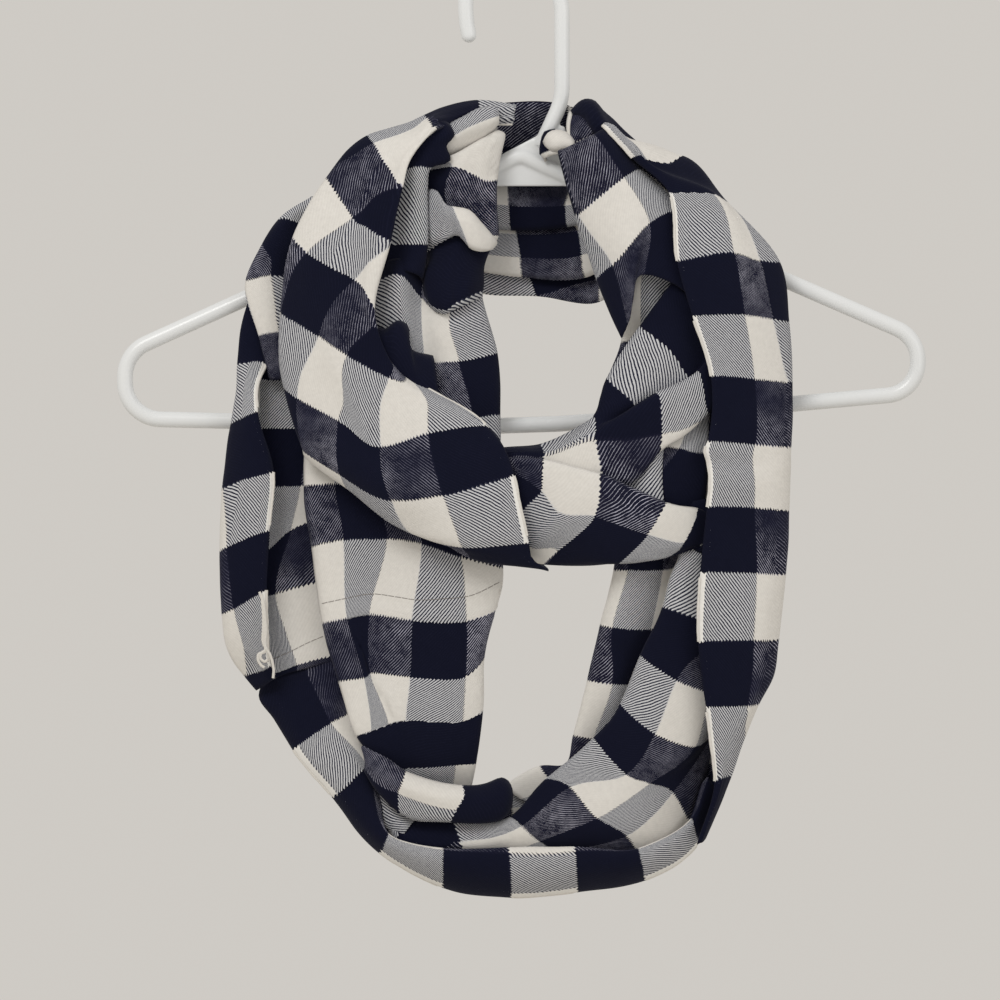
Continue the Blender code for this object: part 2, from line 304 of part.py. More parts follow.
# Inner winding, the right end of the crossing, turning up under the right-hand fold.
RIGHT_TURN_LINES = ("tucked back", "opening edge", "upper", "pleat valley", "pleat edge", "stripe edge",
                    "lower", "fold edge", "tucked behind")
RIGHT_TURN = {
    22.8: ((1.0, -15, -253, 29), (1.3, -14, -257, 34), (1.55, -13, -259, 36), (1.7, -13, -261, 37),
           (1.85, -12, -262, 37.5), (2.0, -12, -264, 37.5), (2.3, -11, -268, 37), (2.5, -10, -272, 35),
           (2.6, -10, -270, 31)),
    23.3: ((1.0, -4, -250, 30), (1.3, -3, -255, 36), (1.55, -2, -257, 39), (1.7, -2, -258, 40), (1.85, -1, -260, 41),
           (2.0, 0, -262, 41), (2.3, 0, -265, 41), (2.5, 1, -270, 39), (2.6, 1, -269, 35)),
    24.0: ((1.0, 12, -251, 28), (1.4, 13, -256, 36), (1.6, 13.5, -257.5, 39), (1.75, 14, -258.5, 41),
           (1.88, 14, -260, 42), (2.0, 14, -261, 42.5), (2.25, 14, -265, 42), (2.45, 14, -270, 40),
           (2.6, 14, -269, 35)),
    25.0: ((1.0, 46, -237, 25), (1.2, 41, -240, 33), (1.5, 41, -244, 37), (1.65, 41, -246.5, 39),
           (1.8, 41, -249, 41), (2.0, 41, -253.5, 42), (2.3, 43, -264, 42), (2.5, 45, -274, 39.5),
           (2.7, 47, -271, 35)),
    25.5: ((1.0, 50, -230, 25), (1.15, 44, -231, 33), (1.45, 50, -237, 37), (1.7, 54, -242, 36),
           (1.55, 57, -239, 40), (2.0, 58, -253, 41), (2.2, 58, -262, 40), (2.45, 58, -276, 37),
           (2.6, 62, -271, 33)),
    26.0: ((1.0, 53, -223, 25), (1.1, 47, -222, 32), (1.6, 59, -233, 36), (1.85, 66, -238, 32),
           (1.35, 72, -229.5, 38), (2.0, 75, -250, 38), (2.1, 75, -254, 37.5), (2.2, 74.5, -258.5, 36),
           (2.35, 78, -254, 32.5)),
    26.5: ((1.0, 60, -210, 24.5), (1.1, 55, -208, 31), (1.6, 70, -220, 34.5), (1.9, 78, -230, 31),
           (1.33, 84, -224, 36), (2.0, 86, -248, 36), (2.08, 86.5, -249.5, 35.5), (2.15, 87, -251, 34),
           (2.3, 89, -247, 31.5)),
    27.0: ((1.0, 68, -197, 24), (1.1, 64, -195, 30), (1.6, 80, -208, 33), (1.95, 91, -223, 29),
           (1.3, 94, -218, 33.5), (1.8, 98, -236, 33.5), (1.87, 98.5, -238, 33), (1.95, 99, -240, 31.5),
           (2.1, 100, -237, 29)),
    28.0: ((1.0, 87, -171, 22), (1.1, 83, -169, 27), (1.6, 92, -185, 28), (1.95, 101, -210, 25),
           (1.3, 103, -205, 29), (1.7, 106, -222, 29), (1.78, 106.5, -225, 28.5), (1.85, 107, -228, 27),
           (2.0, 108, -224, 25)),
}

# Inner winding, the lower pleat of the crossing, whose top fold lies in front of the turn.
RIGHT_PLEAT_LINES = ("tucked behind", "top fold", "upper", "stripe edge", "lower", "bottom fold", "tucked under")
RIGHT_PLEAT = {
    22.8: ((2.5, -11, -273, 39), (2.4, -12, -269, 41), (2.7, -9, -279, 41.5), (3.0, -5, -290, 40), (3.5, -2, -302, 37),
           (3.9, 0, -310, 33), (4.2, 1, -308, 29)),
    23.3: ((2.5, 0, -270, 43), (2.4, -2, -266, 45), (2.7, 2, -277, 46), (3.0, 6, -289, 44), (3.5, 9, -302, 41),
           (3.9, 11, -311, 35), (4.2, 12, -309, 31)),
    24.0: ((2.5, 14, -271, 44), (2.4, 14, -266.5, 46), (2.7, 12, -277, 47), (3.0, 11, -286, 46.5),
           (3.5, 13, -301, 43), (3.9, 14, -313, 35), (4.2, 15, -311, 31)),
    25.0: ((2.55, 43, -276, 42), (2.42, 43, -271, 45), (2.7, 43, -282, 47), (3.0, 41, -293, 46),
           (3.5, 30, -306, 44), (3.9, 21, -317, 37), (4.2, 24, -314, 31)),
    25.5: ((2.55, 60, -284, 38), (2.42, 59, -278, 41.5), (2.7, 58, -289, 43.5), (3.0, 56, -298, 43.5),
           (3.5, 47, -309, 42), (3.9, 38, -317, 37), (4.2, 41, -314, 31)),
    26.0: ((2.55, 77, -292, 34.5), (2.42, 78, -286, 37), (2.7, 73, -294, 40), (3.0, 68, -302, 40),
           (3.5, 60, -310.5, 39), (3.9, 52, -317, 36), (4.2, 54, -314, 31)),
    27.0: ((2.55, 93, -295, 28), (2.42, 94, -289, 30.5), (2.7, 91, -298, 33), (3.0, 86.5, -306.5, 34),
           (3.5, 82, -311.5, 33), (3.9, 76, -314, 32), (4.2, 77, -311, 28)),
    27.5: ((2.55, 99, -297, 25), (2.42, 100, -291, 27), (2.7, 98, -299, 29), (3.0, 94, -306, 30),
           (3.5, 90, -309, 30), (3.9, 87, -311, 30), (4.2, 88, -309, 27)),
    28.2: ((2.55, 106, -298, 22), (2.42, 107, -292, 24), (2.7, 106, -299, 26), (3.0, 103, -304, 27),
           (3.5, 99, -306, 28), (3.9, 96, -307, 28), (4.2, 97, -305, 25)),
}

# Inner winding, the slip of reversed cloth between the two pleats of the crossing.
RIGHT_SLIP_LINES = ("left", "first", "stripe edge", "second", "right")
RIGHT_SLIP = {
    27.0: ((6.0, 60, -284, 30), (6.3, 63, -284, 31), (7.0, 72, -287, 30), (7.6, 85, -291, 27), (8, 96, -293, 24)),
    27.2: ((6.0, 58, -279, 30), (6.3, 63, -279, 32), (7.0, 72, -282, 31.5), (7.6, 84, -287, 28), (8, 97, -289, 25)),
    27.6: ((6.0, 62, -269, 28), (6.3, 67, -268, 29.5), (7.0, 75, -270, 31.5), (7.6, 86, -272, 30), (8, 99, -272, 27)),
    28.0: ((6.0, 71, -258, 28), (6.3, 75, -257, 29), (7.0, 84, -258, 30), (7.5, 91, -260, 29.5), (8, 99, -261, 26)),
    28.4: ((6.0, 80, -249, 26), (6.3, 83, -248, 27), (7.0, 89, -246, 27), (7.5, 94, -243, 26.5), (8, 100, -242, 24)),
    28.7: ((6.0, 86, -242, 24), (6.3, 88, -241, 24.5), (7.0, 92, -239, 24.5), (7.5, 96, -236, 24), (8, 101, -235, 22)),
}

# Inner winding, the cloth seen behind the opening edge of the turn.
RIGHT_FILL_LINES = ("opening side", "first", "stripe edge", "outer")
RIGHT_FILL = {
    25.4: ((5.0, 48, -220, 16), (4.7, 53, -220, 17), (4.0, 62, -219, 17), (3.4, 72, -218, 15)),
    26.0: ((5.0, 54.5, -203, 18), (4.7, 58, -202, 20), (4.0, 64.5, -201, 21), (3.4, 78, -199, 19)),
    26.5: ((5.0, 56, -185, 18), (4.7, 60, -184, 20), (4.0, 64.5, -184, 21), (3.4, 80, -183, 19)),
    27.0: ((5.0, 60, -168, 18), (4.7, 63, -167, 21), (4.0, 66, -167, 22), (3.4, 82, -168, 19)),
    27.5: ((5.0, 66, -154, 18), (4.7, 70, -153, 19), (4.0, 75, -152, 20), (3.4, 86, -154, 17)),
}

# Both windings, gathered into three pleats behind the hanger's neck.
BACK_BAND_LINES = ("crest", "upper", "upper ridge", "first pleat", "first fold", "valley", "second pleat",
                   "second ridge", "second fold", "valley", "lower edge")
BACK_BAND = {
    0.0: ((-2, -93, -113, 2), (-1, -94, -118, -2), (0, -95, -122, -5), (1, -95, -126, -6), (1.9, -95, -129, -7),
          (2.4, -95, -129, -10), (3, -95, -131, -8), (4, -96, -134, -6), (4.9, -96, -136, -7),
          (5.2, -96, -136, -9), (6, -96, -140, -8)),
    0.4: ((-2, -80, -106, 0), (-1, -82, -113, -6), (0, -82, -118, -9), (1, -82, -122, -8), (1.9, -82, -125, -9),
          (2.4, -82, -125, -13), (3, -82, -128, -10), (4, -82, -131, -7), (4.9, -82, -134, -8),
          (5.2, -82, -134, -11), (6, -82, -138, -8)),
    1.6: ((-2, -46, -82, -4), (-1, -47, -100, -12), (0, -46, -116, -10), (1, -46, -126, -8), (1.9, -45, -138, -9),
          (2.4, -45, -134, -16), (3, -44, -140, -11), (4, -43, -152, -7), (4.9, -42, -160, -8),
          (5.2, -41, -158, -14), (6, -40, -168, -9)),
    2.3: ((-2, -24, -79, -7), (-1, -24, -100, -15), (0, -24, -119, -11), (1, -24, -129, -9), (1.9, -23, -141, -10),
          (2.4, -22, -137, -17), (3, -21, -144, -13), (4, -20, -156, -8), (4.9, -19, -165, -9),
          (5.2, -18, -162, -16), (6, -16, -177, -11)),
    3.0: ((-2, -4, -78, -8), (-1, -3, -100, -16), (0, -3, -121, -12), (1, -3, -131, -9), (1.9, -2, -143.5, -10),
          (2.4, -1, -139, -17), (3, 0, -146, -13), (4, 2, -158, -8), (4.9, 3, -168, -9),
          (5.2, 5, -165, -16), (6, 10, -178, -11)),
    4.0: ((-2, 26, -80, -8), (-1, 27, -100, -16), (0, 27, -121, -12), (1, 28, -131, -9), (1.9, 29, -142, -10),
          (2.4, 30, -138, -17), (3, 31, -144, -13), (4, 33, -157, -8), (4.9, 34, -168, -9),
          (5.2, 35, -165, -16), (6, 36, -181, -11)),
    5.2: ((-2, 60, -97, -4), (-1, 60, -108, -10), (0, 60, -118, -9), (1, 60, -126, -8), (1.9, 60, -132, -9),
          (2.4, 60, -130, -14), (3, 61, -135, -10), (4, 61, -143, -7), (4.9, 62, -151, -8),
          (5.2, 62, -149, -13), (6, 62, -159, -9)),
    6.2: ((-2, 85, -103, 1), (-1, 85, -111, -6), (0, 86, -116, -9), (1, 86, -120, -8), (1.9, 86, -123, -9),
          (2.4, 86, -123, -13), (3, 86, -126, -10), (4, 86, -129, -7), (4.9, 86, -132, -8),
          (5.2, 86, -132, -11), (6, 86, -136, -8)),
    6.8: ((-2, 97, -118, 2), (-1, 98, -122, -3), (0, 98, -125, -6), (1, 98, -128, -7), (1.9, 98, -131, -8),
          (2.4, 98, -131, -11), (3, 98, -133, -9), (4, 98, -136, -7), (4.9, 98, -138, -8),
          (5.2, 98, -138, -10), (6, 98, -141, -8)),
}

# Outer winding, the rear wall of the bottom bend.
BOTTOM_BACK_LINES = ("upper edge", "upper fold", "middle", "lower fold", "lower edge")
BOTTOM_BACK = {
    12.0: ((5.6, -58, -444, 4), (4.6, -62, -450, 6), (3.6, -64, -456, 4), (2.6, -66, -460, 7), (1.8, -67, -463, 10)),
    13.0: ((5.6, -34, -441, 5), (4.6, -36, -453, 8), (3.6, -37, -464, 5), (2.6, -38, -473, 8), (1.8, -38, -480, 12)),
    14.0: ((5.6, -2, -436, 5), (4.6, -2, -450, 8), (3.6, -2.5, -464, 5), (2.6, -3, -477, 8), (1.8, -3, -485, 13)),
    15.0: ((5.6, 28, -434, 5), (4.6, 29, -448, 8), (3.6, 30, -462, 5), (2.6, 30, -474, 8), (1.8, 31, -482, 13)),
    16.0: ((5.6, 56, -434, 5), (4.6, 58, -445, 8), (3.6, 60, -456, 5), (2.6, 63, -466, 7), (1.8, 65, -474, 11)),
    17.0: ((5.6, 76, -430, 3), (4.6, 79, -437, 4), (3.6, 82, -444, 3), (2.6, 85, -451, 4), (1.8, 87, -456, 6)),
}

STRETCHES = {
    "back_band": BACK_BAND,
    "left_shoulder": LEFT_SHOULDER,
    "left_outer": LEFT_OUTER,
    "left_gather": LEFT_GATHER,
    "left_panel": LEFT_PANEL,
    "left_roll": LEFT_ROLL,
    "bottom_rim": BOTTOM_RIM,
    "bottom_back": BOTTOM_BACK,
    "trough": TROUGH,
    "right_fall": RIGHT_FALL,
    "right_outer": RIGHT_OUTER,
    "right_fill": RIGHT_FILL,
    "right_inner": RIGHT_INNER,
    "right_turn": RIGHT_TURN,
    "right_slip": RIGHT_SLIP,
    "right_pleat": RIGHT_PLEAT,
    "left_inner": LEFT_INNER,
}
# ---------------------------------------------------------------- lofting

def smooth(knots, values, at):
    """Curve through the values at the knots (Catmull-Rom with uneven spacing), read at the given places."""
    step = np.diff(knots)
    shape = (-1,) + (1,) * (values.ndim - 1)
    width = step.reshape(shape)
    slope = np.diff(values, axis=0) / width
    tangent = np.empty_like(values)
    tangent[0] = slope[0]
    tangent[-1] = slope[-1]
    tangent[1:-1] = (slope[:-1] * width[1:] + slope[1:] * width[:-1]) / (width[:-1] + width[1:])
    i = np.clip(np.searchsorted(knots, at, side="right") - 1, 0, len(step) - 1)
    h = step[i].reshape(shape)
    t = (at - knots[i]).reshape(shape) / h
    start = (2 * t**3 - 3 * t**2 + 1) * values[i] + (t**3 - 2 * t**2 + t) * h * tangent[i]
    end = (3 * t**2 - 2 * t**3) * values[i + 1] + (t**3 - t**2) * h * tangent[i + 1]
    return start + end


def stations(lengths, pitch):
    """Running distance of the key lines and of the facet lines between them; every key line is kept."""
    knots = np.concatenate([[0.0], np.cumsum(np.maximum(lengths, 1.0))])
    at = []
    for k, length in enumerate(lengths):
        count = max(1, int(round(length / pitch)))
        at.extend(knots[k] + (knots[k + 1] - knots[k]) * j / count for j in range(count))
    at.append(knots[-1])
    return knots, np.array(at)


def loft(sections, pitch_along, pitch_across):
    """Grid of points (metres) over a table of sections."""
    rows = [sections[weft] for weft in sorted(sections)]
    points = np.array([[(x, -depth, z) for _warp, x, z, depth in row] for row in rows], float)
    along = np.linalg.norm(np.diff(points, axis=0), axis=2).mean(axis=1)
    across = np.linalg.norm(np.diff(points, axis=1), axis=2).mean(axis=0)
    row_knots, row_at = stations(along, pitch_along)
    key_knots, key_at = stations(across, pitch_across)
    grid = smooth(row_knots, points, row_at)
    grid = smooth(key_knots, np.swapaxes(grid, 0, 1), key_at)
    return np.swapaxes(grid, 0, 1) * MM


# ---------------------------------------------------------------- building

def material(name, color, roughness):
    mat = bpy.data.materials.new(name)
    mat.use_nodes = True
    shader = mat.node_tree.nodes["Principled BSDF"]
    shader.inputs["Base Color"].default_value = (*color, 1.0)
    shader.inputs["Roughness"].default_value = roughness
    return mat


def add_object(name, vertices, faces, color, roughness):
    mesh = bpy.data.meshes.new(name)
    mesh.from_pydata([tuple(v) for v in vertices], [], faces)
    mesh.validate()
    work = bmesh.new()
    work.from_mesh(mesh)
    bmesh.ops.recalc_face_normals(work, faces=work.faces)
    work.to_mesh(mesh)
    work.free()
    mesh.materials.append(material(name, color, roughness))
    obj = bpy.data.objects.new(name, mesh)
    collection.objects.link(obj)
    return obj


def add_stretch(name, sections, color):
    """A stretch of cloth: the lofted middle surface given the thickness of the wall."""
    grid = loft(sections, PITCH_ALONG, PITCH_ACROSS)
    rows, columns = grid.shape[:2]
    faces = []
    for i in range(rows - 1):
        for j in range(columns - 1):
            a = i * columns + j
            faces.append((a, a + 1, a + columns + 1, a + columns))
    obj = add_object(name, grid.reshape(-1, 3), faces, color, 0.9)
    wall = obj.modifiers.new("wall", "SOLIDIFY")
    wall.thickness = WALL * MM
    wall.offset = 0.0
    wall.use_even_offset = False
    wall.use_quality_normals = True
    return obj


def arc(center, radius, start, stop, count):
    """Points on an arc in the x, z plane; angles in degrees from +X towards +Z."""
    points = []
    for k in range(count + 1):
        angle = math.radians(start + (stop - start) * k / count)
        points.append((center[0] + radius * math.cos(angle), center[1] + radius * math.sin(angle)))
    return points


def fillet(before, corner, after, radius, count):
    """Points that round a corner between two straight runs."""
    corner = np.array(corner, float)
    to_before = np.array(before, float) - corner
    to_after = np.array(after, float) - corner
    to_before /= np.linalg.norm(to_before)
    to_after /= np.linalg.norm(to_after)
    half = math.acos(float(np.clip(np.dot(to_before, to_after), -1, 1))) / 2
    bisector = to_before + to_after
    bisector /= np.linalg.norm(bisector)
    center = corner + bisector * radius / math.sin(half)
    start = corner + to_before * radius / math.tan(half) - center
    stop = corner + to_after * radius / math.tan(half) - center
    sweep = math.pi - 2 * half
    turn = 1.0 if start[0] * stop[1] - start[1] * stop[0] > 0 else -1.0
    points = []
    for k in range(count + 1):
        angle = turn * sweep * k / count
        points.append((center[0] + start[0] * math.cos(angle) - start[1] * math.sin(angle),
                       center[1] + start[0] * math.sin(angle) + start[1] * math.cos(angle)))
    return points


def add_tube(name, path, diameter, sides=TUBE_SIDES, dome_start=False):
    """Round bar along a path in the x, z plane; one end may be domed."""
    path = np.array(path, float)
    radii = np.full(len(path), diameter / 2)
    tangent = np.gradient(path, axis=0)
    tangent /= np.linalg.norm(tangent, axis=1)[:, None]
    if dome_start:
        extra = []
        for angle in (75.0, 50.0, 25.0):
            lift = diameter / 2 * math.sin(math.radians(angle))
            extra.append((path[0] - tangent[0] * lift, diameter / 2 * math.cos(math.radians(angle))))
        path = np.concatenate([[place for place, _radius in extra], path])
        radii = np.concatenate([[radius for _place, radius in extra], radii])
        tangent = np.concatenate([[tangent[0]] * len(extra), tangent])
    vertices = []
    for place, direction, radius in zip(path, tangent, radii):
        for k in range(sides):
            angle = 2 * math.pi * k / sides
            side = radius * math.cos(angle)
            vertices.append(((place[0] - direction[1] * side) * MM, radius * math.sin(angle) * MM,
                             (place[1] + direction[0] * side) * MM))
    faces = [tuple(range(sides)), tuple(len(vertices) - 1 - k for k in range(sides))]
    for i in range(len(path) - 1):
        for k in range(sides):
            a = i * sides + k
            b = i * sides + (k + 1) % sides
            faces.append((a, b, b + sides, a + sides))
    return add_object(name, vertices, faces, HANGER_WHITE, 0.35)


def add_plate(name, outline, thickness):
    """Flat plate in the x, z plane, centred on y = 0."""
    count = len(outline)
    vertices = [(x * MM, -thickness / 2 * MM, z * MM) for x, z in outline]
    vertices += [(x * MM, thickness / 2 * MM, z * MM) for x, z in outline]
    faces = [tuple(range(count)), tuple(2 * count - 1 - k for k in range(count))]
    for k in range(count):
        n = (k + 1) % count
        faces.append((k, n, n + count, k + count))
    return add_object(name, vertices, faces, HANGER_WHITE, 0.35)


def join(obj, other):
    """Weld another body into obj and hide the other one."""
    union = obj.modifiers.new("union", "BOOLEAN")
    union.operation = "UNION"
    union.solver = "EXACT"
    union.object = other
    other.hide_render = True
    other.hide_viewport = True


def along(a, b, share):
    return (a[0] + (b[0] - a[0]) * share, a[1] + (b[1] - a[1]) * share)


bpy.ops.object.select_all(action="DESELECT")
for old in list(bpy.data.objects):
    bpy.data.objects.remove(old, do_unlink=True)
collection = bpy.data.collections.new("infinity_scarf_on_hanger")
bpy.context.scene.collection.children.link(collection)

for stretch, sections in STRETCHES.items():
    add_stretch(stretch, sections, CLOTH_NAVY)

# Hook and stem
hook_radius = HOOK_INNER_RADIUS + HOOK_TUBE / 2
hook_path = [(-hook_radius, -HOOK_INNER_RADIUS - HOOK_TIP_DROP), (-hook_radius, -HOOK_INNER_RADIUS - HOOK_TIP_DROP / 2)]
hook_path += arc((0.0, -HOOK_INNER_RADIUS), hook_radius, 180.0, 0.0, HOOK_STEPS)
hook_path += [(hook_radius, -48.0)]
hook_path += STEM_FOOT
add_tube("hanger_hook", hook_path, HOOK_TUBE, dome_start=True)

# Neck of the hanger: the gusset and the beginnings of both arms
neck_left = along(NECK_APEX, ARM_END_LEFT, NECK_SHARE_LEFT)
neck_right = along(NECK_APEX, ARM_END_RIGHT, NECK_SHARE_RIGHT)
neck_path = [neck_left] + fillet(neck_left, NECK_APEX, neck_right, APEX_FILLET, 4) + [neck_right]
neck = add_tube("hanger_neck", neck_path, TUBE)
join(neck, add_plate("hanger_web", WEB_OUTLINE, WEB_THICKNESS))

# Arms with their end loops and the halves of the lower bar
for side, neck_end, arm_bend, arm_end, bar_end, bar_fillet, nudge in (
        ("left", neck_left, ARM_BEND_LEFT, ARM_END_LEFT, BAR_END_LEFT, ARM_FILLET, -SEAM),
        ("right", neck_right, ARM_BEND_RIGHT, ARM_END_RIGHT, BAR_END_RIGHT, BAR_FILLET_RIGHT, SEAM)):
    start = (neck_end[0] + nudge, neck_end[1] - abs(nudge) * 0.46)
    stop = (BAR_SAG[0] + nudge, BAR_SAG[1])
    path = [start, along(start, arm_bend, 0.5), arm_bend]
    path += fillet(arm_bend, arm_end, bar_end, ARM_FILLET, 5)
    path += fillet(arm_end, bar_end, BAR_SAG, bar_fillet, 5)
    path += [along(bar_end, BAR_SAG, 0.35), along(bar_end, BAR_SAG, 0.68), stop]
    add_tube("hanger_arm_" + side, path, TUBE)
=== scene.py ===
"""Checked infinity scarf, wound twice round the neck of a white tubular clothes hanger.

The cloth is one sewn loop of brushed cotton twill. Every stretch of it that shows is a thin shell
lofted through a short table of sections, in millimetres: x to the right, z up and depth in front of
the hanger's middle plane.
"""
import math

import bpy
import numpy as np
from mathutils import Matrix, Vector, noise


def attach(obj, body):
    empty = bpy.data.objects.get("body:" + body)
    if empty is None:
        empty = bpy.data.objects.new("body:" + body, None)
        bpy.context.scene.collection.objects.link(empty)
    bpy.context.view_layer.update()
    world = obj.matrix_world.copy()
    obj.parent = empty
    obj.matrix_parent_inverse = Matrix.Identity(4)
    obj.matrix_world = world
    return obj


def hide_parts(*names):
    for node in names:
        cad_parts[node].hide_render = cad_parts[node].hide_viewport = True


MM = 0.001                 # sizes are in millimetres, unless a comment says metres

# Cloth
CLOTH_THICKNESS = 1.0
FACET_ALONG = 2.4          # length of the facets, along the cloth
FACET_ACROSS = 2.2         # their width, across it
CHECK_SIZE = 33.5          # one stripe of the check, along the cloth
TWILL_LINES = 16.5         # twill lines to a stripe
EDGE_BORDER = 0.985        # warp line where the cream woven edge ends
NAVY_BY_BORDER = 1.02      # up to this warp line the stripe beside the border is navy
ALL_NAVY_FROM = 1.1        # warp lines well inside a navy stripe, for stretches that are navy
ALL_NAVY_SPAN = 0.8        # in their whole width
RIPPLE_HEIGHT = 0.5        # unevenness of the hanging cloth
RIPPLE_STEP = 7.3          # how far apart the stretches read the ripple
WIDE_WAVE, WIDE_DROP = 26.0, 38.0      # its wide waves, across and down
FINE_WAVE, FINE_DROP = 11.0, 13.0      # its fine waves
FINE_SHARE = 0.45          # their height, as a share of the wide ones'

# Yarn and stitches
EDGE_WAVE = 5.0            # the cream yarn of the woven edge wavers at this pitch,
EDGE_WAVER = 0.35          # by up to this much to the side
EDGE_WAVER_DOWN = 0.3      # and this share of it down,
EDGE_PROUD = 0.2           # and stands proud of the cloth
STITCH_LENGTH = 3.1
STITCH_GAP = 0.6
STITCH_RADIUS = 0.2        # radius of the sewing thread
STITCH_LIFT = 0.05
SEAM_PITCH = 0.5           # pitch of the points along a seam
LOOSE_YARN_RADIUS = 0.8
LOOSE_YARN_PITCH = 1.2
LOOSE_YARN_FRONT = -31.5   # y of the loose ends at the flap
LOOSE_YARN_BEND = -344.0   # below this height they lean back with the flap,
LOOSE_YARN_LEAN = 0.11     # by this much for each millimetre
TAIL_RADIUS = 0.26         # the cut thread at the end of the seam
TAIL_PITCH = 0.8
TAIL_LIFT = 0.3
IN_FRONT = -0.3            # metres; y of a place in front of every piece

# Hanger, x and z on its middle plane
ROD_RADIUS = 4.15
ROD_SIDES = 28
FRAME_SIDES = 32
BEND_STEP = 5              # degrees to a facet in a bend
SMOOTH_BELOW = 60          # degrees; sharper edges than this stay sharp
SEAM_CLOSED = 0.02         # points of a rod nearer than this are one
HOOK_RADIUS = 4.1
HOOK_TIP = (-24.5, -42.6)
HOOK_HEADING = 103.0       # degrees from +X towards +Z
# From the tip over the hook and down the stem: straight runs (length), bends (radius, degrees).
HOOK_MOVES = [(62.0, -13.0), (8.65,), (23.9, -169.0), (12.0,), (20.0, -11.0), (39.0,),
              (30.0, -25.0), (20.0,)]
NECK_APEX = Vector((2.0, -105.0))
ARM_BEND_LEFT = Vector((-125.0, -172.5))     # each arm sags a little under the cloth
ARM_BEND_RIGHT = Vector((130.0, -165.6))
ARM_END_LEFT = Vector((-203.3, -208.0))
ARM_END_RIGHT = Vector((209.0, -200.0))
BAR_END_LEFT = Vector((-203.3, -242.0))
BAR_END_RIGHT = Vector((209.0, -228.5))
BAR_SAG = Vector((5.0, -247.0))
FRAME_BENDS = (120.0, 19.0, 19.0, 900.0, 17.0, 18.0, 200.0)      # radii, from the left arm
# Shares of the way from the apex to each arm's end: where the frame starts and the sleeve stops.
FRAME_FROM_LEFT, FRAME_FROM_RIGHT = 0.10, 0.12
YOKE_TO_LEFT, YOKE_TO_RIGHT = 0.15, 0.17
YOKE_BEND = 8.0
YOKE_EXTRA = 0.3           # how much thicker the sleeve is than the rod
WEB_THICKNESS = 3.0
WEB_RIM = 0.5
WEB_LEFT, WEB_RIGHT = -26.0, 34.0
WEB_LOW, WEB_HIGH = -121.3, -90.0
# Each cut runs from one point to the next and takes off what lies to its left.
WEB_CUTS = (((-26.0, -121.5), (-7.5, -105.0)), ((-7.5, -104.6), (14.6, -93.0)),
            ((25.0, -89.0), (33.0, -121.0)))
MOULD_GRAIN = 0.7          # grain of the weld between hook, sleeve and gusset

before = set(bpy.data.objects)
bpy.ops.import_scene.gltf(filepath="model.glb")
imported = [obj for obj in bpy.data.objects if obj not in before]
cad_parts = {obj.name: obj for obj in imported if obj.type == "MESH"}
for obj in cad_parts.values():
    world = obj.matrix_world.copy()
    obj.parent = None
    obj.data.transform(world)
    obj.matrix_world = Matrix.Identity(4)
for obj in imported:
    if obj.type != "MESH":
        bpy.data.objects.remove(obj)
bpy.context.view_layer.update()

# ---------------------------------------------------------------- sections of the cloth

def on_warps(warps, sections):
    """A table whose sections all have the same warp lines, so they are given once."""
    return {weft: [(warp, *point) for warp, point in zip(warps, row)]
            for weft, row in sections.items()}


# Each row of a table is a section: a weft line and (warp line, x, z, depth) for each line across.

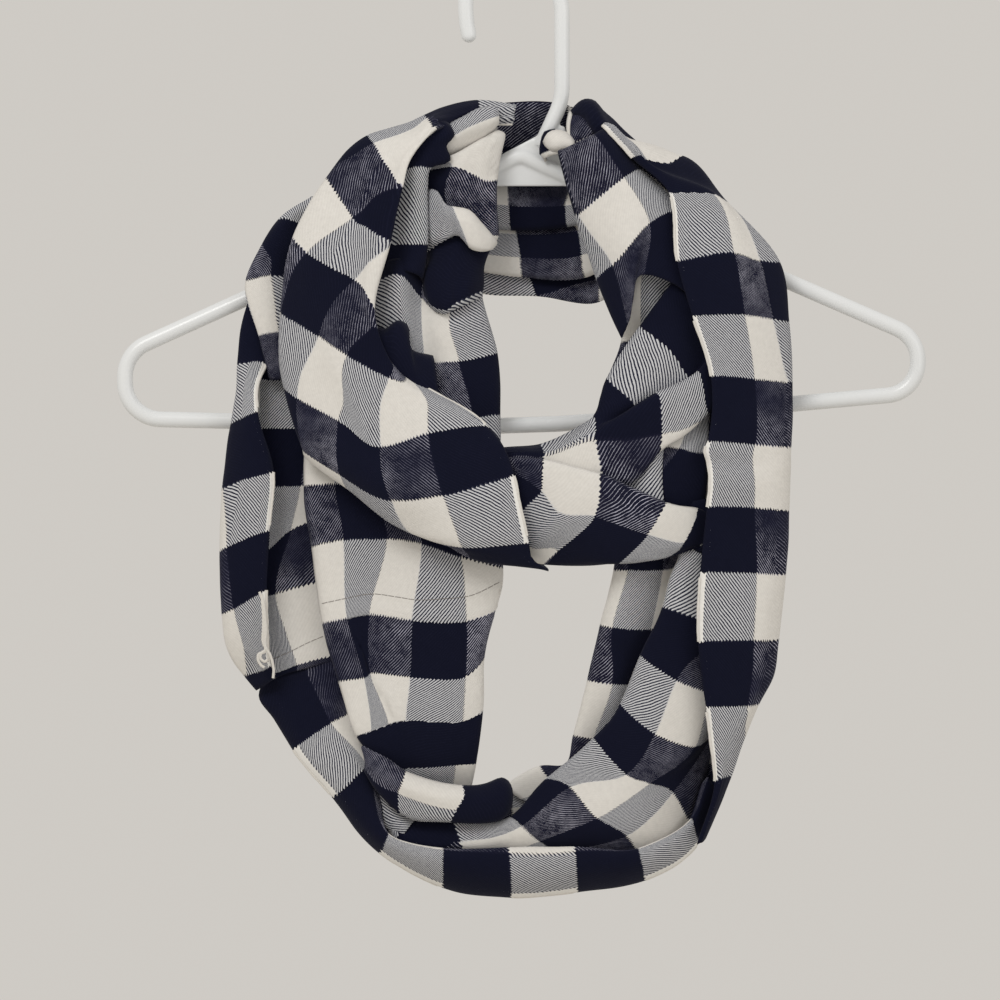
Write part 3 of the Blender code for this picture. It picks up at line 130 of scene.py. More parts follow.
# Inner winding, left: comes over the left shoulder, falls and crosses to the right in front.
# Lines across: tucked back, outer fold, first, second, third, fourth, inner fold, tucked in.
LEFT_INNER = {
    -1.4: ((7.1, -1, -84, -3), (7.2, 0, -79.5, 0), (7.3, 0, -80, 2),
           (7.4, 0, -81, 4), (7.5, -1, -83, 5), (7.6, -1, -85, 5),
           (7.7, -1, -87, 5), (7.8, -2, -89, 3)),
    -1.0: ((7.1, -21, -83, -2), (7.2, -19.5, -77, 2), (7.3, -19, -78.5, 6),
           (7.4, -19, -81, 9), (7.5, -20, -83, 10), (7.6, -21, -86, 9.5),
           (7.7, -21, -88, 8.5), (7.8, -22, -90, 5)),
    -0.5: ((7.1, -38, -90, 0), (7.2, -35, -80, 6), (7.3, -34, -82, 12),
           (7.4, -33, -85, 16), (7.5, -33, -88, 18), (7.6, -33, -91, 18),
           (7.7, -33, -93, 17.5), (7.8, -37, -96, 14)),
    0.0: ((7.6, -50, -99, 1), (7.2, -48, -85.5, 14), (7.0, -46, -87, 22),
          (6.9, -45, -88.5, 27), (6.8, -44, -90, 30), (6.6, -43.5, -92, 31),
          (6.4, -43, -94, 30), (5.9, -50, -100, 23)),
    0.22: ((7.8, -54, -101, 2), (7.4, -54, -88.2, 16), (7.0, -51.5, -91.2, 24),
           (6.8, -50, -93.2, 29), (6.6, -48.5, -95, 32), (6.4, -47.5, -96.8, 33),
           (6.25, -47, -97.8, 31.5), (5.7, -53, -104, 24)),
    0.5: ((8.0, -60, -104, 4), (7.6, -62, -90.7, 18), (7.0, -59.5, -95, 26),
          (6.75, -58.5, -98.7, 31), (6.5, -57.5, -102, 34), (6.3, -56.8, -105.5, 35),
          (6.15, -55, -108.5, 33.5), (5.6, -60, -112, 26)),
    1.0: ((8.0, -71, -110, 7), (7.55, -77, -96, 23), (6.93, -73, -101, 31),
          (6.55, -69, -108.5, 36), (6.3, -65, -114, 38), (6.1, -62, -119.5, 38),
          (5.98, -60, -123, 36), (5.4, -67, -122, 28)),
    2.0: ((7.4, -90, -129, 19), (6.9, -98, -118, 27), (6.45, -91, -128.5, 36),
          (6.0, -84, -139, 42), (5.6, -77.5, -143.5, 44), (5.3, -71.5, -147.5, 43),
          (5.0, -66, -152, 40), (4.6, -73, -154, 31)),
    3.0: ((6.9, -107, -156, 23), (6.4, -115, -149, 29), (6.0, -107.5, -157, 37),
          (5.5, -96, -164, 43), (5.0, -83, -171, 46), (4.65, -78, -177, 45),
          (4.3, -74, -189, 42), (4.0, -80, -190, 33)),
    4.0: ((6.6, -113, -188, 24), (6.05, -121.5, -187.5, 30), (5.5, -112, -193.5, 38),
          (5.0, -101.5, -200, 44), (4.0, -87, -210, 47), (3.0, -65.5, -221.5, 47),
          (2.4, -57, -222.5, 45), (2.0, -57, -219, 38)),
    5.0: ((6.2, -112, -230, 25), (5.5, -120, -226, 31), (5.0, -112.5, -232, 38),
          (4.0, -91.5, -243.5, 44), (3.0, -69.5, -257, 49), (2.0, -45, -250, 51),
          (1.0, -17.5, -246, 50), (0.9, -14, -247, 48)),
    6.0: ((5.7, -101, -257, 29), (5.0, -110, -258.5, 34), (4.6, -101, -265, 38),
          (4.0, -90.5, -271.5, 43), (3.0, -64, -284.5, 50), (2.0, -37.5, -282, 54),
          (1.0, -4, -272.5, 54), (0.9, -1, -272, 53)),
    6.4: ((5.7, -101, -256, 27), (5.0, -109, -261, 29), (4.6, -100, -269.5, 33),
          (4.0, -87, -278.5, 38), (3.0, -58, -297.5, 43), (2.0, -33.5, -293, 53),
          (1.0, -1, -287, 54), (0.9, 2, -287, 53)),
    7.0: ((5.7, -99, -252, 26), (5.0, -105, -255, 27), (4.6, -97, -263, 29),
          (4.0, -84, -272, 31), (3.0, -50, -302.5, 40), (2.0, -27.5, -308.5, 50),
          (1.0, 3.5, -306.5, 52), (0.9, 6.5, -306.5, 51)),
    7.4: ((5.7, -97, -249, 27), (5.0, -103, -251, 28), (4.6, -95, -258, 30),
          (4.0, -82, -266, 31), (3.0, -46, -300, 34), (2.0, -24, -312.5, 44),
          (1.0, 6.5, -315.5, 47), (0.9, 9.5, -316, 46)),
    7.6: ((5.7, -97, -248, 28), (5.0, -103, -250, 29), (4.6, -95, -256, 31),
          (4.0, -81, -264, 32), (3.0, -46, -299, 33), (2.0, -23, -314.3, 41),
          (1.0, 12.5, -319.5, 44), (0.9, 16.8, -320.6, 43)),
    7.8: ((5.7, -96, -246, 30), (5.0, -102, -248, 31), (4.6, -94, -254, 32),
          (4.0, -80, -261, 32), (3.0, -44, -295, 32), (2.0, -22, -310, 37),
          (1.0, 10, -317.5, 38), (0.9, 14, -318.3, 37)),
}

# Inner winding, gathers beside the neck opening on the left.
# Lines across: tucked under, opening edge, right valley, right pleat, left valley, left pleat,
# under the fold.
LEFT_GATHER = {
    5.6: ((0.6, -24, -165, 6), (1.1, -19, -165, 11), (1.7, -27, -168, 18), (2.4, -38, -170, 21),
          (3.0, -48, -168, 19), (3.5, -58, -160, 27), (3.9, -72, -162, 20)),
    6.0: ((0.6, -23, -178, 8), (1.1, -18, -177, 14), (1.7, -27, -184, 23), (2.2, -39, -188, 26),
          (3.0, -49, -180, 23), (3.5, -60, -168, 32), (3.9, -73, -172, 24)),
    7.0: ((0.7, -15, -208, 9), (1.2, -10, -208, 18), (1.85, -26, -212, 26), (2.3, -36, -213, 28),
          (3.0, -47, -213, 26), (3.6, -57, -206, 30), (3.95, -74, -205, 24)),
    8.0: ((0.8, -13, -240, 10), (1.3, -8.5, -240, 20), (1.7, -17, -241, 26), (2.3, -28, -244, 28),
          (3.0, -40, -247, 28), (3.6, -52, -248, 28), (3.95, -66, -244, 25)),
    8.6: ((0.8, -13, -257, 11), (1.3, -8.5, -257, 19), (1.7, -17, -258, 25), (2.3, -28, -260, 27),
          (3.0, -40, -262, 27), (3.6, -52, -262, 27), (3.95, -64, -256, 24)),
}

# The same cloth higher up, from the flap beside the hanger down to the rounded end of its fold.
# Lines across: tucked back, right edge, first, second, crest, falling away, under the inner
# winding.
LEFT_NECK = {
    2.05: ((0.0, -11, -96, 5), (0.1, -6.5, -96, 7), (0.4, -10, -95, 9),
           (0.7, -16, -97, 12), (0.93, -34, -108, 17), (1.3, -44, -107, 12),
           (1.6, -58, -109, 8)),
    2.1: ((0.0, -10, -95, 6), (0.1, -5.6, -95, 9.5), (0.4, -9, -93, 13),
          (0.7, -15.5, -96, 16), (0.95, -34.5, -106.5, 21), (1.3, -44, -106, 15),
          (1.6, -58, -108, 10)),
    2.6: ((0.0, -12, -106, 7), (0.1, -7.8, -105, 12), (0.45, -12.5, -105, 17),
          (0.75, -20, -106, 20), (0.97, -34, -109, 22.5), (1.4, -45, -110, 16),
          (1.7, -58, -112, 10)),
    3.0: ((0.0, -15, -118, 8), (0.1, -9.8, -118.3, 14), (0.45, -16, -119, 18.5),
          (0.75, -23, -115.5, 21), (1.0, -33, -111.8, 23), (1.5, -42, -113, 17),
          (1.8, -58, -116, 10)),
    3.5: ((0.0, -16, -133, 9), (0.1, -10, -133, 16), (0.4, -18, -131, 20.5),
          (0.7, -27, -128, 22.5), (1.0, -36.5, -122, 21.5), (1.6, -44, -118, 18),
          (1.9, -60, -125, 11)),
    4.0: ((0.1, -15, -147, 9), (0.3, -9.6, -147.5, 15), (0.6, -19, -146, 19),
          (0.9, -29, -142, 20), (1.2, -38, -136, 19), (1.8, -46, -132, 17),
          (2.0, -60, -138, 12)),
    5.0: ((0.9, -17, -150, 8), (1.0, -12, -151, 14), (1.2, -22, -153, 21),
          (1.4, -28, -147.5, 23), (1.6, -37, -150, 22), (1.8, -43, -154, 20),
          (1.95, -47, -156, 15)),
    5.5: ((1.0, -19, -164, 8), (1.05, -17, -163, 14), (1.25, -22, -166, 24),
          (1.45, -31, -168, 29), (1.65, -39, -169, 29), (1.8, -46, -168, 25),
          (1.95, -48, -168, 19)),
    6.0: ((1.02, -22, -177, 9), (1.1, -17.5, -175.5, 16), (1.3, -24, -178.5, 27),
          (1.5, -31, -182.5, 31), (1.65, -37, -186, 31.5), (1.8, -43, -184, 29),
          (1.95, -47, -179, 24)),
    6.12: ((1.02, -23, -180, 9), (1.1, -18, -179, 15.5), (1.3, -24.5, -182.5, 26),
           (1.5, -31.5, -186, 30), (1.65, -37, -188, 29.5), (1.8, -42, -186.5, 27.5),
           (1.95, -46, -181, 23)),
}

# The dark fold in the shade of the inner winding, and the steep pleat under it.
# Lines across: under the inner winding, first, second, third, right edge, tucked back.
LEFT_SHADE = {
    3.2: ((3.95, -48, -92, 22), (3.75, -44, -89.5, 25), (3.5, -40, -88.5, 26),
          (3.25, -36, -89, 25), (3.1, -34, -91, 22), (3.05, -36, -93, 17)),
    3.4: ((3.95, -56, -97, 22), (3.75, -48, -96, 27), (3.5, -41, -95.5, 29),
          (3.25, -35, -95.5, 28.5), (3.1, -32.5, -96, 26), (3.05, -35, -97, 20)),
    3.6: ((3.95, -60, -103, 22), (3.75, -52, -102, 27), (3.5, -46, -101.5, 29),
          (3.25, -40, -101.5, 28), (3.1, -36.5, -101.2, 26), (3.05, -39, -102, 20)),
    3.8: ((3.95, -64, -108, 22), (3.75, -55, -107.5, 27), (3.5, -48, -107, 29),
          (3.25, -41, -107.2, 28), (3.1, -34.5, -108.2, 26), (3.05, -37, -108.6, 20)),
    4.0: ((3.95, -68, -114, 22), (3.8, -57, -113.5, 27), (3.5, -52, -112, 29.5),
          (3.25, -47, -111.8, 29), (3.1, -44, -112, 26), (3.05, -46, -112, 21)),
    4.3: ((3.95, -70, -124, 20), (3.75, -59, -123, 25), (3.5, -52, -122, 29),
          (3.25, -48, -122, 29), (3.1, -46, -122, 26), (3.05, -48, -122, 21)),
    4.65: ((3.95, -72, -139, 19), (3.75, -61, -138, 24), (3.5, -53, -137, 28.5),
           (3.25, -48, -137, 28.5), (3.1, -45.8, -137, 26), (3.05, -48, -137, 21)),
    5.0: ((3.95, -74, -152, 19), (3.75, -61, -152, 25), (3.5, -54, -152, 28.5),
          (3.25, -48.5, -152, 29), (3.1, -46, -152, 27), (3.05, -48, -152, 22)),
    5.3: ((3.95, -75, -160, 19), (3.75, -62, -160, 26), (3.5, -55, -160, 29.5),
          (3.25, -49.5, -161, 29), (3.1, -47, -162, 26), (3.05, -49, -163, 21)),
    5.6: ((3.95, -76, -168, 19), (3.75, -64, -166, 27), (3.5, -57, -166, 31),
          (3.25, -51, -168, 29), (3.1, -48.5, -170, 25), (3.05, -50, -171, 20)),
}

# The small tongue that bulges over the neck cloth.
# Lines across: tucked back, left edge, first, second, third, fourth, fifth, right edge, tucked
# back.
LEFT_TONGUE = {
    3.9: ((1.95, -47, -128, 17), (1.9, -45, -127, 20), (1.6, -41, -128, 22),
          (1.15, -36, -135, 24), (0.95, -32, -136, 25), (0.7, -25, -137, 23),
          (0.5, -19, -142, 20), (0.3, -12, -150, 14), (0.25, -12, -150.5, 11)),
    4.0: ((1.95, -47, -126, 19), (1.9, -45.3, -123.8, 23), (1.6, -41, -124.5, 26),
          (1.15, -36, -132, 28), (0.95, -32, -133, 29), (0.7, -24.5, -134.8, 27),
          (0.5, -18.5, -140.8, 24), (0.3, -11, -149.5, 18), (0.25, -11, -150, 14)),
    4.3: ((1.95, -47, -136, 19), (1.9, -45.5, -134, 23.5), (1.6, -40, -135, 28),
          (1.2, -34, -137, 31), (1.0, -30.5, -138, 32), (0.7, -23.5, -139.5, 31),
          (0.5, -17.5, -144.5, 28), (0.3, -10.2, -151, 21), (0.25, -10.2, -151.5, 16)),
    4.7: ((1.95, -47, -145, 19), (1.9, -45.5, -144, 23.5), (1.6, -39, -144.5, 27.5),
          (1.25, -31, -144, 30.5), (1.0, -27, -146, 31.5), (0.7, -21, -148.5, 30.5),
          (0.5, -16.5, -150.8, 28), (0.3, -11.6, -153.2, 22), (0.25, -11.6, -153.4, 18)),
    4.98: ((1.95, -46, -153, 19), (1.9, -43.5, -153, 23), (1.6, -37.5, -150, 27),
           (1.3, -29, -147.5, 29), (1.0, -24, -153.5, 29.5), (0.7, -20, -155.3, 29),
           (0.5, -16.5, -155.5, 27), (0.3, -13, -154.6, 23), (0.25, -12.6, -154.4, 19)),
    4.99: ((1.95, -46, -151, 15), (1.9, -43.5, -151, 19), (1.6, -37.5, -148, 23),
           (1.3, -29, -146, 25), (1.0, -24, -151, 25), (0.7, -20, -152.8, 25),
           (0.5, -16.5, -153, 23), (0.3, -13, -152.5, 19), (0.25, -12.6, -152.4, 16)),
}

# The pleat that lies over the hanger's neck, left of the hook.
# Lines across: tucked back, top edge, first, second, third, lower edge, tucked back.
LEFT_PLEAT = on_warps((1.5, 1.45, 1.25, 1.0, 0.7, 0.4, 0.3), {
    2.0: ((-11, -82, 5.5), (-10.5, -81.5, 7), (-9.8, -83.5, 9), (-9.6, -85.5, 10),
          (-9.6, -87, 10), (-10, -88.5, 6), (-10.5, -88.5, 5)),
    2.05: ((-11, -82, 9), (-10.5, -80.4, 11), (-9.5, -82.5, 15), (-9.2, -85.5, 16.5),
           (-9, -87.3, 16.5), (-9.7, -89.3, 10), (-10.5, -89, 7)),
    2.25: ((-18.5, -83, 12), (-18.5, -81.3, 15), (-18, -84, 19.5), (-17, -88.3, 21),
           (-15.5, -91.3, 19.5), (-14, -94.5, 11), (-13.5, -94, 8)),
    2.5: ((-27, -87.5, 15), (-27.5, -86.2, 18), (-27, -89, 22), (-26, -92.3, 23.5),
          (-24.5, -96, 21), (-23, -101, 12), (-22.5, -100.5, 9)),
    2.75: ((-35, -91.5, 16), (-36, -90.5, 19), (-35, -93.5, 22.5), (-34, -97, 24),
           (-34.5, -101.5, 21.5), (-34, -106.5, 13), (-33, -106, 10)),
    2.9: ((-43, -97, 15), (-44, -95.5, 18), (-44, -98, 20), (-44, -100, 21),
          (-44.5, -103, 20), (-44, -106, 16), (-43, -106, 12)),
})

# Right of the hook: the dark crest of the right-hand fold.
# Lines across: tucked back, top edge, upper, lower, tucked under.
RIGHT_CREST = on_warps((3.2, 3.3, 3.5, 3.7, 3.8), {
    29.1: ((29, -85, 6), (28.6, -82.6, 8.5), (29.2, -83.4, 9.5), (29.6, -84.2, 9.5), (30, -85, 8)),
    29.2: ((32, -84, 5), (31, -79.5, 9), (31.5, -81, 11.5), (32, -83, 12.5), (32, -85, 11)),
    29.3: ((34, -82, 3), (34, -77, 9.5), (34.5, -79, 14), (36, -86, 16.5), (36, -88, 14)),
    29.4: ((37.5, -82, 2), (37.5, -76.2, 9.5), (38, -80, 16.5), (39.5, -90, 20.5), (40, -95, 18)),
    29.5: ((42, -84, 2), (41.2, -77.5, 9.5), (42, -82, 18), (43.5, -91, 22), (44, -97, 20)),
    29.6: ((46, -88, 2), (45, -82, 9.5), (46, -86, 16), (47.5, -92, 21), (48, -98, 20)),
    29.7: ((52, -93, 2), (50.5, -86.9, 8.5), (50.5, -90, 12.5), (51, -94, 16), (52, -99, 16)),
    29.85: ((58, -98, 2), (56.8, -93.4, 7.5), (57, -95.5, 9.5), (57.5, -98, 11.5), (58, -102, 12)),
    29.95: ((63, -102, 2), (62.3, -98.6, 6.5), (62.6, -99.6, 7.5), (63, -101, 8), (63, -104, 8)),
})

# The shaded cloth under the crest.
# Lines across: tucked back, left edge, first, second, under the crest.
RIGHT_SHADE = on_warps((4.75, 4.6, 4.4, 4.2, 4.1), {
    29.0: ((27, -98, 8), (29, -99.5, 14), (33, -98.8, 17.5), (38, -96.5, 20), (40, -95, 18)),
    29.2: ((26.5, -93, 7), (28.4, -94, 11), (32, -93, 14.5), (37, -91.5, 17.5), (41, -90, 17)),
    29.45: ((26.8, -88, 6), (28.5, -88.5, 9), (32, -87.5, 12), (36, -86, 14.5), (40, -85, 15)),
    29.65: ((27.6, -84, 5), (29.2, -83.6, 7), (31, -82, 9), (33.5, -80.5, 11), (37, -80, 12)),
})

# The narrow cream strip along the left edge of the shaded cloth.
# Lines across: under the shaded cloth, first, second, edge, tucked back.
RIGHT_STRIP = on_warps((0.5, 0.75, 0.86, 0.93, 1.0), {
    28.1: ((38, -97, 9), (33, -98, 10.5), (29.5, -98.6, 12),
           (28.3, -98.2, 13.5), (27.2, -97.5, 12)),
    28.3: ((37, -93, 8), (32, -92.5, 8.5), (29.0, -92, 9.5),
           (27.4, -92, 11.5), (26.1, -91.6, 9)),
    28.5: ((37, -88, 6), (32, -87.5, 7), (29.2, -87, 8.5),
           (27.7, -87, 10), (26.5, -86.6, 7.5)),
    28.7: ((37, -83, 5), (33, -83, 6), (30.2, -82.8, 7.5),
           (28.8, -82.6, 9), (27.6, -82.6, 6.5)),
})

# The small roll in front of the gusset.
# Lines across: tucked top, top edge, upper, lower, tucked bottom.
RIGHT_ROLL = on_warps((4.1, 4.2, 4.4, 4.6, 4.8), {
    30.02: ((15.5, -99.5, 6), (14.4, -98.4, 8.5), (14.6, -99.2, 10),
            (15.2, -100.2, 10), (16, -100.8, 8)),
    30.1: ((17.5, -96, 6), (16.6, -94.2, 9.5), (16.4, -97.2, 13.5),
           (17.2, -100.5, 14), (18.2, -103, 11)),
    30.25: ((21, -94.5, 6), (21, -92.5, 9.5), (20.6, -96.5, 15),
            (21, -100.5, 16.5), (21.6, -103.5, 13)),
    30.45: ((26, -96, 7), (26, -93.8, 11), (25.4, -97, 16),
            (25.4, -100.2, 17.5), (25.8, -103, 14)),
    30.6: ((30.5, -99, 9), (30.4, -97.6, 13), (30.2, -99.2, 17),
           (30.2, -101, 18.5), (30.4, -103, 15)),
})

# The cloth inside the small roll.
# Lines across: tucked back, left edge, first, second, inside the roll.
RIGHT_ROLL_LINING = {
    26.9: ((6.1, 15, -109, 6.5), (6.3, 14.5, -107, 7.5), (6.5, 17.5, -106, 10),
           (6.7, 21, -105, 12), (6.9, 26, -104, 12)),
    26.95: ((6.1, 16, -108, 6.5), (6.3, 13.4, -105.4, 8), (6.5, 16.5, -104.4, 10.5),
            (6.7, 20, -103.5, 12), (6.9, 26, -102.5, 12)),
    27.05: ((5.1, 15, -106.5, 6), (5.3, 12.4, -104.8, 7.5), (5.5, 14.2, -103.4, 9),
            (5.7, 18, -102, 10), (5.9, 25, -100, 10)),
    27.5: ((5.1, 14, -99, 5.5), (5.3, 12.8, -98.5, 8), (5.5, 14.4, -98.7, 9),
           (5.7, 18, -98.5, 9.5), (5.9, 25, -98, 9.5)),
    27.8: ((5.1, 16.5, -94.5, 5.5), (5.3, 14.8, -93.2, 7.5), (5.5, 16.0, -94, 9),
           (5.7, 19, -95.5, 9), (5.9, 25, -97, 9)),
    27.95: ((5.1, 21.5, -94, 5.5), (5.3, 20.3, -91.9, 7), (5.5, 20.8, -92.8, 8.5),
            (5.7, 22, -94, 8.5), (5.9, 26, -97, 8.5)),
}

# Outer winding, left shoulder, where the cloth first shows beside the inner winding.
# Lines across: under the fold, stripe edge, swell, outer fold, tucked back.
LEFT_SHOULDER = {
    0.0: ((1.05, -90, -138, 6), (1.25, -96, -133, 13), (1.5, -103, -128, 15),
          (1.75, -106, -127, 10), (1.9, -103, -129, 3)),
    0.98: ((1.0, -106, -143, 10), (1.3, -113, -140, 16), (1.6, -119, -138, 17),
           (1.8, -123, -139, 12), (1.95, -119, -142, 5)),
    1.5: ((1.45, -110, -155, 13), (1.7, -119, -153, 17.5), (1.9, -128, -152, 18),
          (2.15, -133, -155, 15), (2.3, -128, -157, 9)),
    2.0: ((1.72, -114, -169, 14), (2.0, -127, -168, 18), (2.5, -134, -169.5, 18),
          (2.9, -140, -171, 16), (3.4, -135, -172, 12)),
    3.0: ((1.76, -114, -193, 15), (2.0, -123, -197, 19), (2.6, -129, -198, 19),
          (3.0, -133, -199, 17), (3.4, -132, -199, 15)),
    3.9: ((1.76, -112, -218, 14), (2.0, -118, -220, 17), (2.6, -123, -222, 17),
          (3.0, -127, -222, 16), (3.4, -128, -220, 14)),
}

# Outer winding, left side: its free edge is folded forward as a flap over the outer fold.
# Lines across: free edge, edge stripe, flap, outer fold, behind the flap, first, second, inner.
LEFT_OUTER = {
    3.02: ((.9, -134, -180, 11), (1.0, -135, -180, 11), (1.1, -137, -180, 11),
           (1.2, -138, -180, 10), (1.6, -135, -180, 7), (2.6, -126, -182, 6),
           (3.6, -105, -182, 6), (5.0, -74, -182, 7)),
    3.25: ((.9, -131, -190, 12), (1.0, -133, -190, 12.5), (1.2, -138, -189, 12.5),
           (1.4, -141, -189, 11), (1.8, -136, -190, 7.5), (2.8, -126, -190, 6),
           (3.8, -105, -190, 7), (5.2, -72, -190, 7)),
    4.0: ((.9, -129.5, -214, 15), (1.0, -132, -213, 15.5), (1.4, -138, -213, 16),
          (1.6, -144, -214, 14), (2.2, -139, -216, 9), (3.0, -133, -221, 8),
          (4.0, -112, -222, 8), (5.5, -70, -222, 8)),
    4.4: ((.9, -133.5, -224, 21), (1.0, -135.5, -224, 21), (1.5, -140.5, -225, 20),
          (1.7, -144.5, -226.5, 15), (2.3, -140.5, -228, 9), (3.0, -133, -231, 8),
          (4.0, -111, -232, 8), (5.5, -70, -232, 8)),
    5.0: ((.9, -133.5, -238.5, 26), (1.0, -135.5, -239, 26), (1.5, -142, -242, 24),
          (1.8, -147.8, -245, 17), (2.4, -143, -247, 9), (3.0, -134, -247, 8),
          (4.0, -110, -247, 8), (5.5, -70, -247, 8)),
    6.0: ((.9, -125.5, -270, 26), (1.0, -128, -270.5, 27), (1.75, -143, -274.5, 25),
          (2.05, -152, -279, 17), (2.6, -146, -279, 9), (3.0, -131, -277.5, 8),
          (4.0, -112, -277, 8), (5.5, -72, -277, 8)),
    7.0: ((.9, -127.5, -300, 26), (1.0, -130, -300.5, 27), (1.95, -148, -308, 24),
          (2.3, -153, -311.5, 17), (2.7, -147, -312, 9), (3.0, -133, -312, 8),
          (4.0, -117, -300, 9), (5.2, -80, -292, 8)),
    8.0: ((.9, -129, -331, 26), (1.0, -131.5, -332, 26), (2.05, -146.5, -341, 24),
          (2.4, -152, -344, 17), (2.6, -146, -345, 9), (3.0, -133, -336, 8),
          (4.0, -125, -333, 9), (5.2, -80, -321, 8)),
    8.6: ((.9, -128.5, -353, 24), (1.0, -130.5, -354, 24), (2.05, -142, -359, 22),
          (2.5, -149.5, -362, 16), (2.6, -143, -362, 9), (3.0, -131, -359, 8),
          (4.0, -119, -355, 9), (5.1, -80, -344, 8)),
    9.0: ((.9, -127, -370, 20), (1.0, -128.5, -371, 20), (1.65, -133, -373, 18),
          (2.15, -141, -375.5, 13), (2.4, -136, -376, 9), (3.0, -125, -374, 8),
          (4.0, -114, -370, 9), (5.0, -80, -362, 8)),
    9.22: ((.9, -124.5, -375.5, 17), (1.0, -126, -377, 17), (1.5, -129.5, -380, 15),
           (1.8, -134.5, -383, 11), (2.4, -132, -381.5, 8), (3.0, -125, -377, 7),
           (4.0, -114, -373, 8), (5.0, -80, -365, 7)),
}

# Outer winding, lower left: the panel with the end seam, folded over the cloth beside it.
# Lines across: tucked under, left fold, first, second, third, fourth, opening edge, tucked back.
LEFT_PANEL = {
    6.3: ((1.6, -104, -258, 13), (2.0, -109, -257, 17), (3.0, -95, -258, 19),
          (4, -78, -261, 20), (5, -58, -266, 21), (6, -38, -268, 21),
          (6.7, -14, -268, 16), (7.0, -20, -268, 8)),
    7.0: ((1.6, -103, -277, 14), (2.1, -109.5, -277, 20), (3.0, -94, -276, 22),
          (4, -76, -276, 22), (5, -56, -276, 23), (6, -36, -276, 22),
          (6.7, -12, -276, 17), (7.1, -18, -276, 8)),
    8.0: ((1.7, -99, -309, 14), (2.1, -105.5, -309, 20), (3.0, -89.5, -305, 24),
          (4, -67, -304.5, 23), (5, -49, -307, 25), (6, -28.5, -314, 24),
          (6.8, -7, -320, 17), (7.2, -12, -320, 8)),
    9.0: ((1.8, -94, -349, 14), (2.2, -100, -348.5, 20), (3.0, -87.5, -345.5, 24),
          (4, -76, -343.5, 23), (5, -54, -346.5, 26), (6, -26, -347, 24),
          (6.6, -11, -341, 17), (7, -17, -341, 8)),
    10.0: ((1.9, -86, -379, 15), (2.3, -91.5, -378.5, 20), (3.0, -78.5, -376.5, 25),
           (4, -75.5, -374, 24), (5, -55, -376, 26), (6, -26.5, -376, 24),
           (6.4, -17, -365, 17), (6.8, -22, -365, 8)),
    11.0: ((2.1, -78, -409, 17), (2.5, -82, -407, 22), (3.0, -75, -404, 25),
           (4, -66, -400.5, 25), (5, -57, -398.5, 26), (6, -28, -399, 23),
           (6.4, -17.5, -393, 17), (6.8, -22, -393, 8)),
    12.0: ((4.7, -66, -427, 15), (4.9, -67, -424, 18), (5.03, -62, -424, 19),
           (5.2, -55, -423, 19), (5.45, -45, -422.5, 19), (6, -31.5, -421.5, 18),
           (6.4, -21, -421, 15), (6.8, -25, -421, 8)),
    12.8: ((4.7, -60, -437, 8), (4.9, -60, -436, 9), (5.03, -57, -436, 9),
           (5.2, -53, -436, 9), (5.45, -45, -436, 9), (6, -33, -436, 9),
           (6.4, -24, -436, 9), (6.8, -27, -436, 7)),
}

# Outer winding, the roll that the panel turns into as it swings to the right.
# Lines across: tucked top, top edge, upper, crease, lower edge, tucked bottom.
LEFT_ROLL = {
    11.2: ((6.7, -77, -413, 26), (6.65, -80, -412, 27), (6.4, -79, -416, 29),
           (6.15, -78, -420, 29), (5.9, -78, -425, 26), (5.8, -75, -426, 22)),
    11.6: ((6.7, -66, -422, 24), (6.65, -67, -418, 28), (6.4, -69, -423, 32),
           (6.15, -70, -428, 32), (5.85, -72, -434, 27), (5.7, -69, -435, 22)),
    12.0: ((6.65, -55, -431, 22), (6.58, -57, -425, 27), (6.3, -59, -431, 33),
           (6, -61, -436, 31), (5.65, -60, -446, 27), (5.55, -57, -447, 23)),
    13.0: ((6.65, -29, -440, 22), (6.58, -28, -432, 27), (6.3, -27, -438, 34),
           (6, -31, -444.5, 33), (5.7, -34, -450.5, 29), (5.6, -32, -449, 24)),
    13.5: ((6.65, -16, -438, 22), (6.58, -15, -431, 27), (6.3, -12, -437, 34),
           (6, -13, -444, 34), (5.7, -16, -451, 30), (5.6, -16, -449, 24)),
    13.8: ((6.65, -9, -434, 21), (6.58, -7.5, -428.2, 26), (6.3, -4.5, -434, 32),
           (6, -4.5, -442, 32), (5.7, -8, -449.5, 28), (5.6, -9, -447, 23)),
    13.9: ((6.65, -7, -434, 19), (6.58, -5.2, -429.2, 23), (6.3, -2.2, -434, 27),
           (6, -2.2, -441.5, 27), (5.7, -5.5, -447.5, 24), (5.6, -7, -446, 20)),
    13.94: ((6.65, -8, -435, 15), (6.58, -5.6, -431.5, 18), (6.3, -3.2, -435.5, 20),
            (6, -3.2, -440.5, 20), (5.7, -6, -445.5, 18), (5.6, -8, -444, 15)),
}

